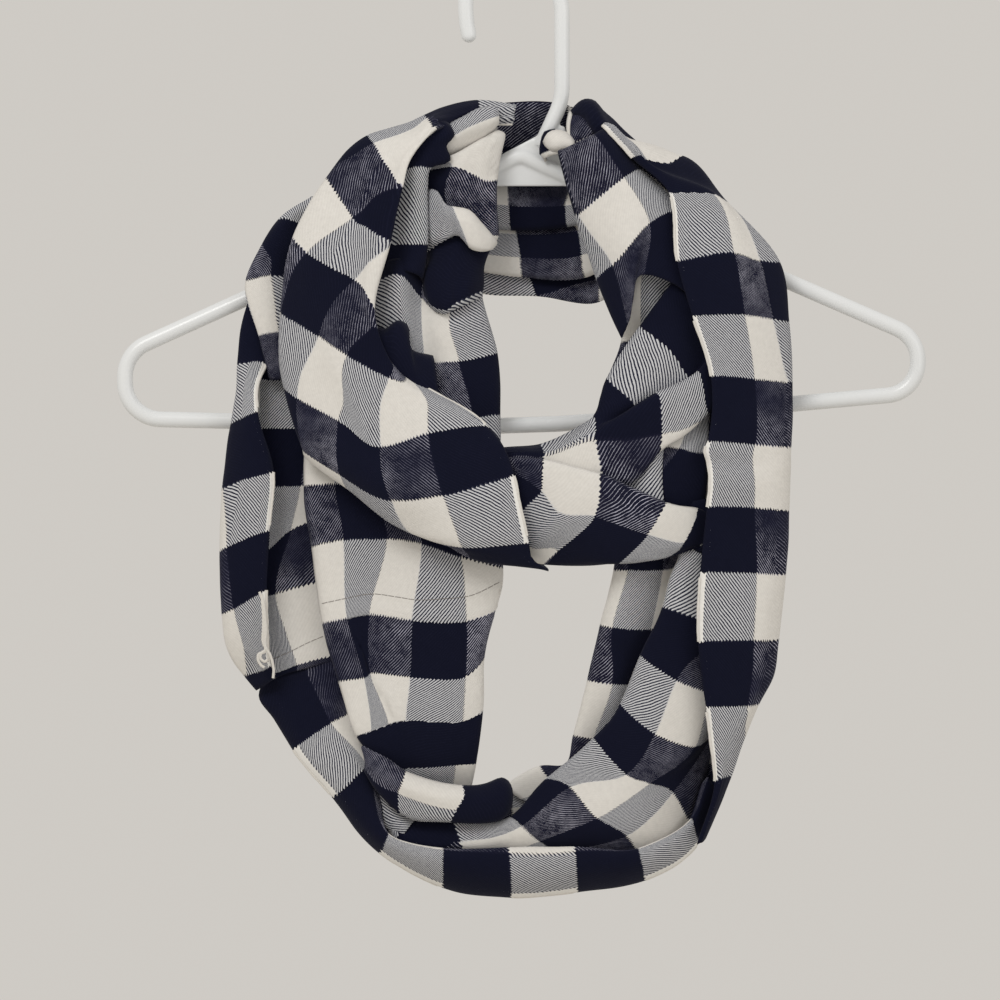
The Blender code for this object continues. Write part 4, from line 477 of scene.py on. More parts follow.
# Outer winding, the lower rim with the free edge along the bottom.
# Lines across: free edge, edge stripe, face, upper face, rim fold, tucked in, inner.
BOTTOM_RIM = {
    9.02: ((.72, -130, -374, 3), (1.0, -127, -372, 4), (1.5, -119, -368, 4),
           (2.0, -111, -365, 4), (2.4, -101, -361, 4), (3.0, -88, -357, 3),
           (3.8, -71, -351, 3)),
    9.1: ((.72, -132, -380, 4), (1.0, -126, -378, 4.5), (1.5, -118, -374, 5),
          (2.0, -110, -371, 5), (2.4, -101, -367, 5), (3.0, -87, -363, 4.5),
          (3.8, -70, -357, 4)),
    9.2: ((.72, -133.5, -386, 7), (1.0, -126, -384, 9), (1.5, -117, -380, 10),
          (2.0, -108, -376, 10), (2.4, -98, -371, 9), (3.0, -85, -366, 8),
          (3.8, -68, -359, 7)),
    9.5: ((.8, -125.5, -398, 10), (1.0, -119, -396, 14), (1.5, -110, -392, 15),
          (2.0, -102, -388, 14), (2.4, -94, -384, 12), (3.0, -84, -378, 10),
          (3.8, -69, -371, 9)),
    10.0: ((.88, -115.5, -414, 12), (1.0, -112, -411, 16), (1.5, -104, -405, 17),
           (2.0, -96, -400, 16), (2.4, -90, -397, 14), (3.0, -82, -392, 12),
           (3.8, -70, -386, 12)),
    11.0: ((.9, -95, -438.5, 15), (1.0, -92, -436, 20), (1.3, -86, -430.5, 22),
           (1.6, -80, -424.5, 21), (2.1, -77, -422, 18), (2.8, -74, -421, 15),
           (3.5, -70, -419, 13)),
    12.0: ((.9, -70.5, -467, 20), (1.0, -69, -465, 26), (1.25, -68, -462, 30),
           (1.5, -67, -459.5, 31), (2.1, -66, -457, 30), (2.6, -65, -459, 27),
           (3.3, -65, -461, 26)),
    13.0: ((.9, -38, -485, 19), (1.0, -38, -482, 25), (1.4, -38, -475, 32),
           (1.75, -38, -469, 34), (2.1, -38, -464.5, 32), (2.6, -38.5, -468, 28),
           (3.3, -39, -471, 27)),
    14.0: ((.9, -2.5, -490, 19), (1.0, -2.5, -487, 25), (1.5, -3, -478, 33),
           (1.95, -3.5, -469, 35), (2.1, -4, -464, 33), (2.6, -4, -467, 29),
           (3.3, -4, -471, 28)),
    15.0: ((.9, 32, -487, 19), (1.0, 31.5, -484, 25), (1.5, 31, -476, 33),
           (1.95, 30.5, -468, 35), (2.1, 30, -464, 33), (2.6, 30, -467, 29),
           (3.3, 30, -471, 28)),
    16.0: ((.9, 67, -481, 18), (1.0, 66, -478.5, 24), (1.35, 65, -473, 31),
           (1.7, 63.5, -467.5, 33), (2.1, 63, -464.5, 31), (2.6, 62.5, -467, 27),
           (3.3, 62, -470, 26)),
    17.0: ((.9, 95, -462, 16), (1.0, 94, -460.5, 19), (1.3, 92.5, -456, 22),
           (1.6, 91.5, -451.5, 24), (2.1, 90.5, -449.5, 23), (2.6, 89, -452, 20),
           (3.3, 87.5, -454, 19.5)),
    17.8: ((.9, 104, -436, 13), (1.0, 103.5, -435, 15), (1.5, 102, -432, 17),
           (1.95, 100, -429, 18), (2.1, 99.5, -428, 17.5), (2.6, 98, -429.5, 16.5),
           (3.3, 96.5, -431, 16)),
}

# Outer winding, the inside of the bottom bend, running up on the right in front of the inner edge.
# Lines across: tucked top, ridge, first, second, third, under the rim.
TROUGH = {
    11.4: ((6.25, -76, -424, 6), (5.95, -79, -426, 7), (5.7, -79, -432, 8),
           (5.5, -78, -437, 9), (5.35, -76, -441, 9), (5.2, -74, -445, 8)),
    12.0: ((6.25, -68, -432, 10), (5.95, -71, -434, 12), (5.7, -70, -440, 14),
           (5.5, -69, -444, 15), (5.35, -67, -448, 14), (5.2, -65, -452, 13)),
    13.0: ((5.6, -58, -446, 12), (5.5, -60, -449, 17), (5.3, -61, -457, 22),
           (5.2, -61, -462, 21), (5.1, -59, -466, 19), (5.04, -58, -470, 16)),
    14.0: ((5.4, -33, -446, 13), (5.35, -33, -449, 19), (5.0, -29, -461.5, 25),
           (4.9, -27, -465, 24), (4.8, -26, -469, 21), (4.7, -26, -473, 18)),
    15.0: ((6.5, 4, -456, 14), (6.0, -3, -449, 24), (5.0, 3, -453, 30),
           (4.0, 12, -461, 28), (3.0, 22, -467, 24), (2.1, 30, -472, 20)),
    16.0: ((6.5, 21, -437, 16), (6.0, 15, -430, 26), (5.0, 28, -433, 31),
           (4.0, 42, -449, 32), (3.0, 57, -458, 27), (2.1, 65, -470, 17)),
    17.0: ((6.5, 45, -414, 17), (6.0, 40, -408, 26), (5.0, 57, -426.5, 30),
           (4.0, 69, -431, 28), (3.0, 81, -436, 21), (2.1, 90, -452, 11)),
    18.0: ((6.5, 60, -392, 17), (6.0, 54, -390, 27), (5.0, 72, -405.5, 31),
           (4.0, 92.5, -412, 25), (3.0, 100, -407, 16), (2.1, 104, -404, 11)),
    19.0: ((6.5, 71, -368, 18), (6.0, 64, -365, 27), (5.0, 83, -378, 30),
           (4.0, 100.5, -385, 24), (3.0, 106, -388, 16), (2.1, 109, -391, 12)),
    20.0: ((6.2, 85, -342, 18), (6.02, 76, -340, 28), (5.38, 96, -347, 28),
           (5.2, 104, -350, 19), (5.15, 109, -352, 15), (5.08, 113, -353, 12)),
    20.5: ((6.2, 87, -327, 18), (6.02, 79.8, -325, 27), (5.38, 96.5, -328, 27),
           (5.2, 104, -331, 18), (5.12, 109, -332, 14), (5.05, 113, -333, 12)),
    21.0: ((6.2, 89, -313, 18), (6.02, 85.5, -311, 26), (5.42, 97, -309, 26),
           (5.25, 104, -311, 18), (5.15, 109, -312, 14), (5.1, 113, -313, 12)),
    21.4: ((6.2, 90, -303, 16), (6.02, 87, -302, 23), (5.42, 98, -299, 23),
           (5.25, 104, -302, 16), (5.15, 109, -303, 12), (5.1, 113, -303, 10)),
}

# Outer winding, the inner edge on the right of the lower opening.
# Lines across: behind, first, second, third, opening edge, tucked back.
RIGHT_FALL = {
    16.4: ((5, 60, -450, 8), (6, 40, -450, 9), (7, 20, -446, 9),
           (8, 3, -440, 10), (8.5, -6.5, -433, 10), (8.9, -4.5, -434, 6)),
    17.0: ((5, 70, -437, 8), (6, 58, -438, 9), (7, 40, -438, 9),
           (8, 20, -432, 10), (8.5, 12.5, -423, 10), (8.9, 14, -423.5, 6)),
    17.4: ((5, 78, -426, 8), (6, 66, -426, 9), (7, 50, -426, 9),
           (8, 34, -425, 10), (8.5, 25.5, -422, 10), (8.9, 28, -422, 6)),
    18.0: ((5, 82, -408, 9), (6, 70, -408, 10), (7, 58, -408, 10),
           (8, 40, -408, 12), (8.5, 30, -406.5, 13), (8.9, 35, -406, 7)),
    19.0: ((5, 88, -380, 9), (6, 76, -380, 10), (7, 64, -380, 11),
           (8, 50, -380, 18), (8.5, 37, -378, 16), (8.9, 43, -378, 8)),
    20.0: ((5, 92, -346, 9), (6, 82, -346, 11), (7, 70, -351.5, 15),
           (8, 50, -350.5, 22), (8.4, 44, -349, 17), (8.8, 50, -349, 8)),
    21.0: ((5, 94, -318, 9), (6, 85, -319, 11), (7, 76, -321, 15),
           (8, 58, -321, 23), (8.4, 51, -321, 18), (8.8, 57, -321, 8)),
    22.0: ((5, 95, -290, 9), (6, 86, -290, 12), (7, 78, -290, 18),
           (8, 62, -290, 20), (8.4, 55, -290, 16), (8.8, 61, -290, 8)),
    23.0: ((5, 94, -264, 9), (6, 86, -264, 11), (7, 78, -264, 14),
           (8, 66, -264, 15), (8.4, 60, -264, 12), (8.8, 66, -264, 8)),
}

# Outer winding, right side: its free edge is folded forward as a long flap.
# Lines across: free edge, edge stripe, stripe edge, near the fold, outer fold, behind the flap,
# back, inner.
RIGHT_OUTER = {
    17.2: ((.9, 93.5, -462.5, 28), (1.0, 94.5, -462, 28), (1.04, 95.7, -461.5, 27),
           (1.08, 97, -460.5, 25), (1.12, 98.5, -458.5, 21), (1.3, 99.5, -454, 14),
           (1.8, 96, -448, 9), (2.6, 86, -443, 6)),
    18.0: ((.9, 102.5, -429.5, 34), (1.0, 104, -429, 34), (1.2, 107.3, -428, 32),
           (1.3, 109.3, -427.5, 29), (1.4, 111.6, -427, 22), (1.7, 108, -424, 11),
           (2.4, 97, -420, 6), (3.3, 84, -416, 6)),
    18.5: ((.9, 100.5, -410.5, 36), (1.0, 102.6, -410.5, 36), (1.6, 112, -409.5, 32.5),
           (1.8, 115, -409, 29.5), (2.0, 118, -408.5, 22), (2.3, 114, -406, 11),
           (2.9, 101, -403, 6), (3.8, 88, -400, 6)),
    19.0: ((.9, 98, -391.5, 37), (1.0, 100.5, -391.5, 37), (2.0, 119.5, -391, 33),
           (2.2, 122.7, -390.5, 30), (2.4, 125.6, -389.5, 22), (2.8, 120, -388, 11),
           (3.4, 105, -386, 6), (4.2, 92, -384, 6)),
    19.4: ((.9, 96, -378, 37.5), (1.0, 98.8, -378, 37.5), (2.0, 121.5, -377.5, 33.5),
           (2.35, 128, -377, 30), (2.5, 132.5, -376.5, 22), (2.9, 126, -375, 11),
           (3.5, 106.5, -374, 6), (4.3, 93, -373, 6)),
    20.0: ((.9, 94, -357.5, 38), (1.0, 97, -357.5, 38), (2.0, 122.5, -357, 34),
           (2.4, 130.5, -357, 30), (2.6, 135.6, -356.5, 22), (3.0, 129, -355, 11),
           (3.6, 108, -355, 6), (4.5, 94, -355, 6)),
    21.0: ((.9, 95, -322, 38), (1.0, 98.5, -322, 38), (2.0, 124, -322.5, 34),
           (2.5, 133.5, -323, 30), (2.7, 139.2, -323, 22), (3.1, 132, -322, 11),
           (3.7, 110, -322, 6), (4.6, 96, -322, 6)),
    22.0: ((.9, 98.5, -288, 38), (1.0, 101, -288, 38), (2.0, 123, -288.5, 34),
           (2.55, 135.5, -289.5, 29), (2.75, 141.3, -290, 21), (3.15, 135, -289, 11),
           (3.8, 112, -288, 6), (4.7, 96, -288, 6)),
    22.4: ((.9, 99.8, -274, 38), (1.0, 102.2, -274, 38.5), (2.0, 123, -275, 35),
           (2.57, 137, -276, 28.5), (2.77, 141.8, -276.5, 20.5), (3.18, 135.5, -276, 11),
           (3.84, 113, -275, 6.5), (4.74, 96, -275, 6.5)),
    22.7: ((.9, 98.6, -264, 37), (1.0, 101.2, -264, 37.5), (2.0, 122, -265.5, 33.5),
           (2.58, 137.5, -266.5, 28.5), (2.78, 142.2, -267, 20.5), (3.19, 136, -266, 11),
           (3.87, 113.5, -265, 7), (4.77, 96, -265, 7)),
    22.86: ((.9, 97, -259, 39), (1.0, 99.8, -259, 39), (2.0, 122, -260.5, 34),
            (2.59, 138, -261.5, 28), (2.79, 142.2, -262, 20.5), (3.2, 136, -261, 11),
            (3.89, 114, -260, 7), (4.79, 96, -260, 7)),
    23.0: ((.9, 98.5, -254.5, 38), (1.0, 101, -254.5, 38), (2.0, 123, -256, 34),
           (2.6, 138, -257, 28), (2.8, 142.6, -257, 20), (3.2, 136, -256, 11),
           (3.9, 114, -255, 7), (4.8, 96, -255, 7)),
    24.0: ((.9, 100.5, -220.5, 38), (1.0, 102.5, -220.5, 38), (2.0, 123, -222, 34),
           (2.97, 139, -223.5, 26), (3.1, 142.8, -224, 19), (3.4, 137, -223, 10),
           (4.0, 114, -222, 7), (4.9, 94, -222, 7)),
    25.0: ((.9, 91, -189.5, 38), (1.0, 93.5, -189.5, 38), (2.0, 118, -189, 34.5),
           (3.0, 132.5, -191, 27), (3.3, 141.2, -192.5, 19), (3.6, 136, -191, 10),
           (4.1, 112, -190, 7), (4.9, 92, -190, 7)),
    26.0: ((.9, 83, -161, 38), (1.0, 85, -161, 38), (2.0, 112.5, -157, 34),
           (3.0, 126, -161, 26.5), (3.45, 136.8, -161.5, 18), (3.8, 130, -161, 10),
           (4.2, 112, -162, 7), (4.9, 94, -164, 7)),
    27.0: ((.9, 79, -126, 35), (1.0, 81, -126, 35), (2.0, 102, -126.5, 30),
           (2.75, 107, -129, 25), (3.05, 110, -131, 18), (3.3, 107, -132, 11),
           (3.7, 102, -134, 8), (4.2, 97, -137, 7)),
    28.0: ((.9, 60, -107.5, 30), (1.0, 62, -106.8, 31), (2.02, 67.5, -108.8, 30),
           (2.2, 79, -110.5, 25), (2.4, 86, -106.6, 16), (2.6, 87.5, -108.5, 9),
           (3.0, 86.5, -110, 7), (3.6, 85.5, -113, 6)),
    28.14: ((.9, 57.8, -105, 30), (1.0, 59.7, -104, 31), (2.02, 65, -105, 30),
            (2.15, 74.5, -106, 25), (2.3, 81.5, -105, 16), (2.5, 83, -107, 9),
            (2.6, 82.5, -109, 7), (2.8, 82, -112, 6)),
    28.4: ((.9, 53.5, -100.4, 29), (1.0, 55.6, -99.4, 30), (2.02, 60, -99.6, 27),
           (2.15, 66.5, -99.9, 21), (2.3, 72.5, -101.4, 14), (2.4, 74.5, -104, 9),
           (2.6, 75, -107, 7), (2.8, 75, -110, 6)),
    28.6: ((.9, 50, -96.5, 28), (1.0, 51.8, -95.4, 29), (2.02, 55.3, -96.2, 24.5),
           (2.15, 60.5, -98.6, 19), (2.3, 65, -100.6, 13), (2.4, 67, -103, 9),
           (2.6, 68, -106, 7), (2.8, 68.5, -109.5, 6)),
    28.8: ((.9, 46.3, -92.4, 26.5), (1.0, 48, -91.3, 27), (2.02, 50.5, -92.4, 22),
           (2.15, 53.5, -94.8, 17), (2.3, 56.5, -97.4, 12), (2.4, 58.5, -100.5, 9),
           (2.6, 60, -103.5, 7), (2.8, 61, -107, 6)),
    28.95: ((.9, 44.8, -90.7, 23), (1.0, 45.4, -89.8, 22), (2.02, 47, -91, 18),
            (2.15, 49, -92.6, 14), (2.3, 51, -95, 11), (2.4, 53, -98, 8.5),
            (2.6, 54, -101, 7), (2.8, 55, -105, 6)),
}

# Inner winding, right side beside the neck opening.
# Lines across: tucked back, opening edge, stripe edge, far stripe edge, outer, tucked under.
RIGHT_INNER = {
    27.07: ((5.7, 57, -196, 27), (5.5, 54.5, -200.5, 30), (5.0, 58, -193, 33),
            (4.0, 66.5, -168, 34), (3.4, 82, -173, 33), (2.8, 93, -182, 30)),
    28.0: ((5.9, 46, -171, 20), (5.6, 42, -170, 26), (5.0, 50, -163, 33),
           (4.0, 69, -141.5, 35), (3.4, 79, -136, 31), (2.8, 87, -137, 26)),
    29.0: ((5.6, 37, -141, 13), (5.1, 31, -137.5, 21), (5.0, 33, -136.5, 25),
           (4.0, 56, -118, 33), (3.5, 63, -114, 27), (3.0, 68, -115, 18)),
    30.0: ((5.5, 28, -108, 9), (5.05, 22.3, -104, 17), (4.97, 24.3, -103.2, 19),
           (4.0, 40.5, -96, 26), (3.7, 46, -93.6, 21), (3.2, 51, -97.5, 14)),
    30.1: ((5.5, 29, -110, 5), (5.05, 24, -107, 12), (4.97, 26, -106.2, 14),
           (4.0, 41.5, -99, 21), (3.7, 47, -97, 16), (3.2, 52, -101, 9)),
}

# Inner winding, the right end of the crossing, turning up under the right-hand fold.
# Lines across: tucked back, opening edge, upper, pleat valley, pleat edge, stripe edge, lower, fold
# edge, tucked behind.
RIGHT_TURN = {
    22.8: ((1.8, -15, -258, 29), (1.82, -14, -259, 34), (1.86, -13, -260, 36),
           (1.9, -13, -260.7, 37), (1.95, -12, -261.5, 37.5), (2.0, -12, -262.5, 37.5),
           (2.1, -11, -268, 37), (2.2, -10, -272, 35), (2.3, -10, -270, 31)),
    23.3: ((1.8, -4, -257, 30), (1.82, -3, -257.8, 35.5), (1.86, -2, -258.6, 38),
           (1.9, -2, -259.2, 39), (1.95, -1, -259.8, 40), (2.0, 0, -261, 40.5),
           (2.1, 0, -266, 41), (2.25, 1, -270, 39), (2.35, 1, -269, 35)),
    24.0: ((1.75, 12, -256, 28), (1.8, 13, -257.4, 36), (1.85, 13.5, -258.6, 39),
           (1.9, 14, -259.5, 41), (1.95, 14, -260.4, 42), (2.0, 14, -261.6, 42.5),
           (2.12, 14, -266, 42), (2.25, 14, -270, 40), (2.35, 14, -269, 35)),
    25.0: ((1.6, 46, -237, 25), (1.65, 41, -240, 33), (1.75, 41, -244, 37),
           (1.82, 41, -246.5, 39), (1.9, 41, -249, 41), (2.0, 41, -253.5, 42),
           (2.25, 43, -264, 42), (2.5, 45, -274, 39.5), (2.6, 47, -271, 35)),
    25.5: ((1.4, 50, -230, 25), (1.45, 44, -231, 33), (1.6, 50, -237, 37),
           (1.75, 54, -242, 36), (1.68, 57, -239, 40), (2.0, 58, -253, 41),
           (2.2, 58, -262, 40), (2.5, 58, -276, 37), (2.6, 62, -271, 33)),
    26.0: ((1.1, 53, -223, 25), (1.2, 47, -222, 32), (1.6, 59, -233, 36),
           (1.85, 66, -238, 32), (1.35, 72, -229.5, 38), (2.0, 75, -250, 38),
           (2.1, 75, -254, 37.5), (2.2, 74.5, -258.5, 36), (2.35, 78, -254, 32.5)),
    26.5: ((1.0, 60, -210, 24.5), (1.1, 55, -208, 31), (1.6, 70, -220, 34.5),
           (1.9, 78, -230, 31), (1.33, 84, -224, 36), (2.0, 86, -248, 36),
           (2.08, 86.5, -249.5, 35.5), (2.15, 87, -251, 34), (2.3, 89, -247, 31.5)),
    27.0: ((1.0, 68, -197, 24), (1.1, 64, -195, 30), (1.6, 80, -208, 33),
           (1.95, 91, -223, 29), (1.3, 94, -218, 33.5), (1.8, 98, -236, 33.5),
           (1.87, 98.5, -238, 33), (1.95, 99, -240, 31.5), (2.1, 100, -237, 29)),
    27.92: ((1.0, 87, -171, 22), (1.1, 83, -169, 27), (1.6, 92, -185, 28),
            (1.95, 101, -210, 25), (1.3, 103, -205, 29), (1.7, 106, -222, 29),
            (1.78, 106.5, -225, 28.5), (1.85, 107, -228, 27), (2.0, 108, -224, 25)),
}

# Inner winding, the lower pleat of the crossing, whose top fold lies in front of the turn.
# Lines across: tucked behind, top fold, upper, stripe edge, lower, bottom fold, tucked under.
RIGHT_PLEAT = {
    22.8: ((2.6, -11, -266, 38), (2.5, -13, -262, 40), (2.75, -11, -266, 41.5),
           (3.0, -9, -270, 42), (3.5, -12, -288, 41), (4.0, -14, -302, 36),
           (4.3, -13, -303, 30)),
    23.3: ((2.55, 0, -267, 42), (2.45, -2, -263, 44), (2.7, -1, -267.5, 45.5),
           (3.0, 0, -271, 46), (3.5, -5, -289, 44), (4.0, -8, -304, 38),
           (4.3, -7, -305, 31)),
    24.0: ((2.55, 14, -268, 44), (2.42, 14, -263.6, 46), (2.7, 13.5, -272, 47),
           (3.0, 13, -279.5, 46.5), (3.5, 3, -290, 44), (4.0, 0, -304, 38),
           (4.3, 2, -306, 31)),
    24.4: ((2.55, 26, -271, 43), (2.42, 26, -266.5, 45.5), (2.7, 25, -278, 47),
           (3.0, 22, -290.5, 46.5), (3.5, 14, -300.5, 43.5), (4.0, 9, -309, 38),
           (4.3, 6, -314.5, 33)),
    25.0: ((2.55, 43, -276, 42), (2.42, 43, -271, 45), (2.7, 43, -282, 47),
           (3.0, 40.5, -292.5, 46), (3.5, 32, -302, 43.5), (4.0, 21.5, -310.5, 38),
           (4.3, 14, -317.5, 33)),
    25.07: ((2.55, 45, -276.5, 42), (2.42, 45, -271.5, 45), (2.7, 45, -282.5, 47),
            (3.0, 42, -293, 46), (3.5, 33.5, -302.5, 43.5), (3.93, 23.5, -310.8, 38),
            (3.97, 16, -317.6, 33)),
    25.5: ((2.55, 60, -284, 38), (2.42, 59, -278, 41.5), (2.7, 58, -289, 43.5),
           (3.0, 56, -298, 43.5), (3.5, 49, -307.5, 42), (3.93, 41, -316, 37),
           (3.97, 38, -318, 31)),
    26.0: ((2.55, 77, -292, 34.5), (2.42, 78, -286, 37), (2.7, 73, -294, 40),
           (3.0, 68, -302, 40), (3.5, 60, -310.5, 39), (3.93, 53, -317, 36),
           (3.97, 54, -316, 31)),
    27.0: ((2.55, 93, -295, 28), (2.42, 94, -289, 30.5), (2.7, 91, -298, 33),
           (3.0, 86.5, -306.5, 34), (3.5, 82, -311.5, 33), (3.9, 76, -314, 32),
           (4.2, 77, -311, 28)),
    27.5: ((2.55, 99, -297, 25), (2.42, 100, -291, 27), (2.7, 98, -299, 29),
           (3.0, 94, -306, 30), (3.5, 90, -309, 30), (3.9, 87, -311, 30),
           (4.2, 88, -309, 27)),
    28.2: ((2.55, 106, -298, 22), (2.42, 107, -292, 24), (2.7, 106, -299, 26),
           (3.0, 103, -304, 27), (3.5, 99, -306, 28), (3.9, 96, -307, 28),
           (4.2, 97, -305, 25)),
}

# Inner winding, the slip of reversed cloth between the two pleats of the crossing.
# Lines across: left, first, stripe edge, second, right.
RIGHT_SLIP = {
    27.0: ((6.0, 60, -284, 30), (6.3, 63, -284, 31), (7.0, 72, -287, 30),
           (7.6, 85, -291, 27), (8, 96, -293, 24)),
    27.2: ((6.0, 58, -279, 30), (6.3, 63, -279, 32), (7.0, 72, -282, 31.5),
           (7.6, 84, -287, 28), (8, 97, -289, 25)),
    27.6: ((6.0, 62, -269, 28), (6.3, 67, -268, 29.5), (7.0, 75, -270, 31.5),
           (7.6, 86, -272, 30), (8, 99, -272, 27)),
    28.0: ((6.0, 71, -258, 28), (6.3, 75, -257, 29), (7.0, 84, -258, 30),
           (7.5, 91, -260, 29.5), (8, 99, -261, 26)),
    28.4: ((6.0, 80, -249, 26), (6.3, 83, -248, 27), (7.0, 89, -246, 27),
           (7.5, 94, -243, 26.5), (8, 100, -242, 24)),
    28.7: ((6.0, 86, -242, 24), (6.3, 88, -241, 24.5), (7.0, 92, -239, 24.5),
           (7.5, 96, -236, 24), (8, 101, -235, 22)),
}

# Inner winding, the cloth seen behind the opening edge of the turn.
# Lines across: opening side, first, stripe edge, outer.
RIGHT_FILL = {
    25.4: ((5.0, 48, -220, 16), (4.7, 53, -220, 17), (4.0, 62, -219, 17), (3.4, 72, -218, 15)),
    26.0: ((5.0, 54.5, -203, 18), (4.7, 58, -202, 20), (4.0, 64.5, -201, 21), (3.4, 78, -199, 19)),
    26.5: ((5.0, 56, -185, 18), (4.7, 60, -184, 20), (4.0, 64.5, -184, 21), (3.4, 80, -183, 19)),
    27.0: ((4.6, 60, -168, 18), (4.2, 63, -167, 21), (3.95, 66, -167, 22), (3.4, 82, -168, 19)),
    27.5: ((4.2, 66, -154, 18), (4.0, 70, -153, 19), (3.8, 75, -152, 20), (3.4, 86, -154, 17)),
}

# Both windings, gathered into three pleats behind the hanger's neck.
# Lines across: crest, upper, upper ridge, first pleat, first fold, valley, second pleat, second
# ridge, second fold, valley, lower edge.
BACK_BAND = {
    0.0: ((-2, -93, -113, 2), (-1, -94, -118, -2), (0, -95, -122, -5), (1, -95, -126, -6),
          (1.9, -95, -129, -7), (2.4, -95, -129, -10), (3, -95, -131, -8), (4, -96, -134, -6),
          (4.9, -96, -136, -7), (5.2, -96, -136, -9), (6, -96, -140, -8)),
    0.4: ((-2, -80, -109, 0), (-1, -82, -113, -6), (0, -82, -118, -9), (1, -82, -122, -8),
          (1.9, -82, -125, -9), (2.4, -82, -125, -13), (3, -82, -128, -10), (4, -82, -131, -7),
          (4.9, -82, -134, -8), (5.2, -82, -134, -11), (6, -82, -138, -8)),
    1.6: ((-2, -46, -85, -4), (-1, -47, -100, -12), (0, -46, -116, -10), (1, -46, -126, -8),
          (1.9, -45, -138, -9), (2.4, -45, -134, -16), (3, -44, -140, -11), (4, -43, -152, -7),
          (4.9, -42, -160, -8), (5.2, -41, -158, -14), (6, -40, -168, -9)),
    2.3: ((-2, -24, -79, -7), (-1, -24, -100, -15), (0, -24, -119, -11), (1, -24, -129, -9),
          (1.9, -23, -141, -10), (2.4, -22, -137, -17), (3, -21, -144, -13), (4, -20, -156, -8),
          (4.9, -19, -165, -9), (5.2, -18, -162, -16), (6, -16, -177, -11)),
    3.0: ((-2, -12, -78, -8), (-1, -8, -100, -16), (0, -4.5, -121, -12), (1, -4, -131, -9),
          (1.9, -3, -143.5, -10), (2.4, -1, -139, -17), (3, 0, -146, -13), (4, 2, -158, -8),
          (4.9, 3, -168, -9), (5.2, 5, -165, -16), (6, 10, -178, -11)),
    4.0: ((-2, 27, -79, -8), (-1, 28, -100, -16), (0, 28.5, -121, -12), (1, 25.5, -131, -9),
          (1.9, 26.5, -142, -10), (2.4, 29, -138, -17), (3, 32, -144, -13), (4, 34, -157, -8),
          (4.9, 36, -168, -9), (5.5, 42, -165, -16), (6.9, 43.5, -181, -11)),
    5.2: ((-2, 60, -101, -4), (-1, 60, -110, -10), (0, 60, -118, -9), (1, 60, -126, -8),
          (1.9, 60, -132, -9), (2.4, 60, -130, -14), (3, 61, -135, -10), (4, 61, -143, -7),
          (4.9, 62, -151, -8), (5.2, 62, -149, -13), (6, 62, -159, -9)),
    6.2: ((-2, 85, -108.5, 1), (-1, 85, -113, -6), (0, 86, -116, -9), (1, 86, -120, -8),
          (1.9, 86, -123, -9), (2.4, 86, -123, -13), (3, 86, -126, -10), (4, 86, -129, -7),
          (4.9, 86, -132, -8), (5.2, 86, -132, -11), (6, 86, -136, -8)),
    6.8: ((-2, 97, -118, 2), (-1, 98, -122, -3), (0, 98, -125, -6), (1, 98, -128, -7),
          (1.9, 98, -131, -8), (2.4, 98, -131, -11), (3, 98, -133, -9), (4, 98, -136, -7),
          (4.9, 98, -138, -8), (5.2, 98, -138, -10), (6, 98, -141, -8)),
}

# Outer winding, the rear wall of the bottom bend.
# Lines across: upper edge, upper fold, middle, lower fold, lower edge.
BOTTOM_BACK = on_warps((5.6, 4.6, 3.6, 2.6, 1.8), {
    11.5: ((-66, -438, 3), (-71, -443, 5), (-74, -448, 3), (-75.5, -452, 5), (-76, -456, 8)),
    11.95: ((-60, -444, 4), (-65, -450, 6), (-68, -456, 4), (-69, -460, 7), (-70, -463, 10)),
    13.0: ((-34, -441, 5), (-36, -453, 8), (-37, -464, 5), (-38, -473, 8), (-38, -480, 12)),
    14.0: ((-2, -436, 5), (-2, -450, 8), (-2.5, -464, 5), (-3, -477, 8), (-3, -485, 13)),
    15.0: ((28, -434, 5), (29, -448, 8), (30, -462, 5), (30, -474, 8), (31, -482, 13)),
    16.0: ((56, -434, 5), (58, -445, 8), (60, -456, 5), (63, -466, 7), (65, -474, 11)),
    17.0: ((76, -430, 3), (79, -437, 4), (82, -444, 3), (85, -451, 4), (87, -456, 6)),
})

# Inner winding: where the crossing leaves the gathers, its edge bulges in a soft knot.
# Lines across: tucked back, top edge, upper, lower.
LEFT_KNOT = on_warps((3.9, 3.8, 3.5, 3.1), {
    3.1: ((-82, -196, 35), (-82, -198, 38), (-82, -206, 40), (-82, -218, 40)),
    3.2: ((-74, -195, 34), (-74, -198, 38.5), (-74, -208, 41), (-74, -221, 41)),
    3.35: ((-67.5, -196.5, 33), (-68, -199, 38), (-67, -209, 41.5), (-67, -225, 41)),
    3.5: ((-61, -192, 33), (-61.5, -193.5, 38), (-61, -206, 43), (-60, -228, 41)),
    3.62: ((-56.5, -194, 32), (-57, -196, 37), (-56, -208, 42.5), (-55, -231, 41)),
    3.75: ((-55, -206, 32), (-54.5, -207, 36), (-52, -216, 41), (-49, -235, 42)),
    3.9: ((-43, -210, 30), (-42.5, -212, 34), (-41, -221, 38), (-39, -240, 42)),
})

# Outer winding, right: cloth in the pocket between the pleat and the flap.
# Lines across: left, first, second, right.
RIGHT_POCKET = on_warps((1.9, 1.6, 1.3, 1.1), {
    27.1: ((85, -309.5, 22), (88.5, -310.5, 25.5), (95, -311.5, 27.5), (104, -313, 24)),
    27.3: ((83, -306, 24), (87, -306.5, 27.5), (95, -307, 28.5), (104, -308, 25)),
    27.6: ((85, -297, 24), (89, -297, 28), (96, -297, 29), (104, -297, 25)),
    27.9: ((88, -285, 23), (92, -285, 27), (97, -284, 28), (104, -284, 25)),
})

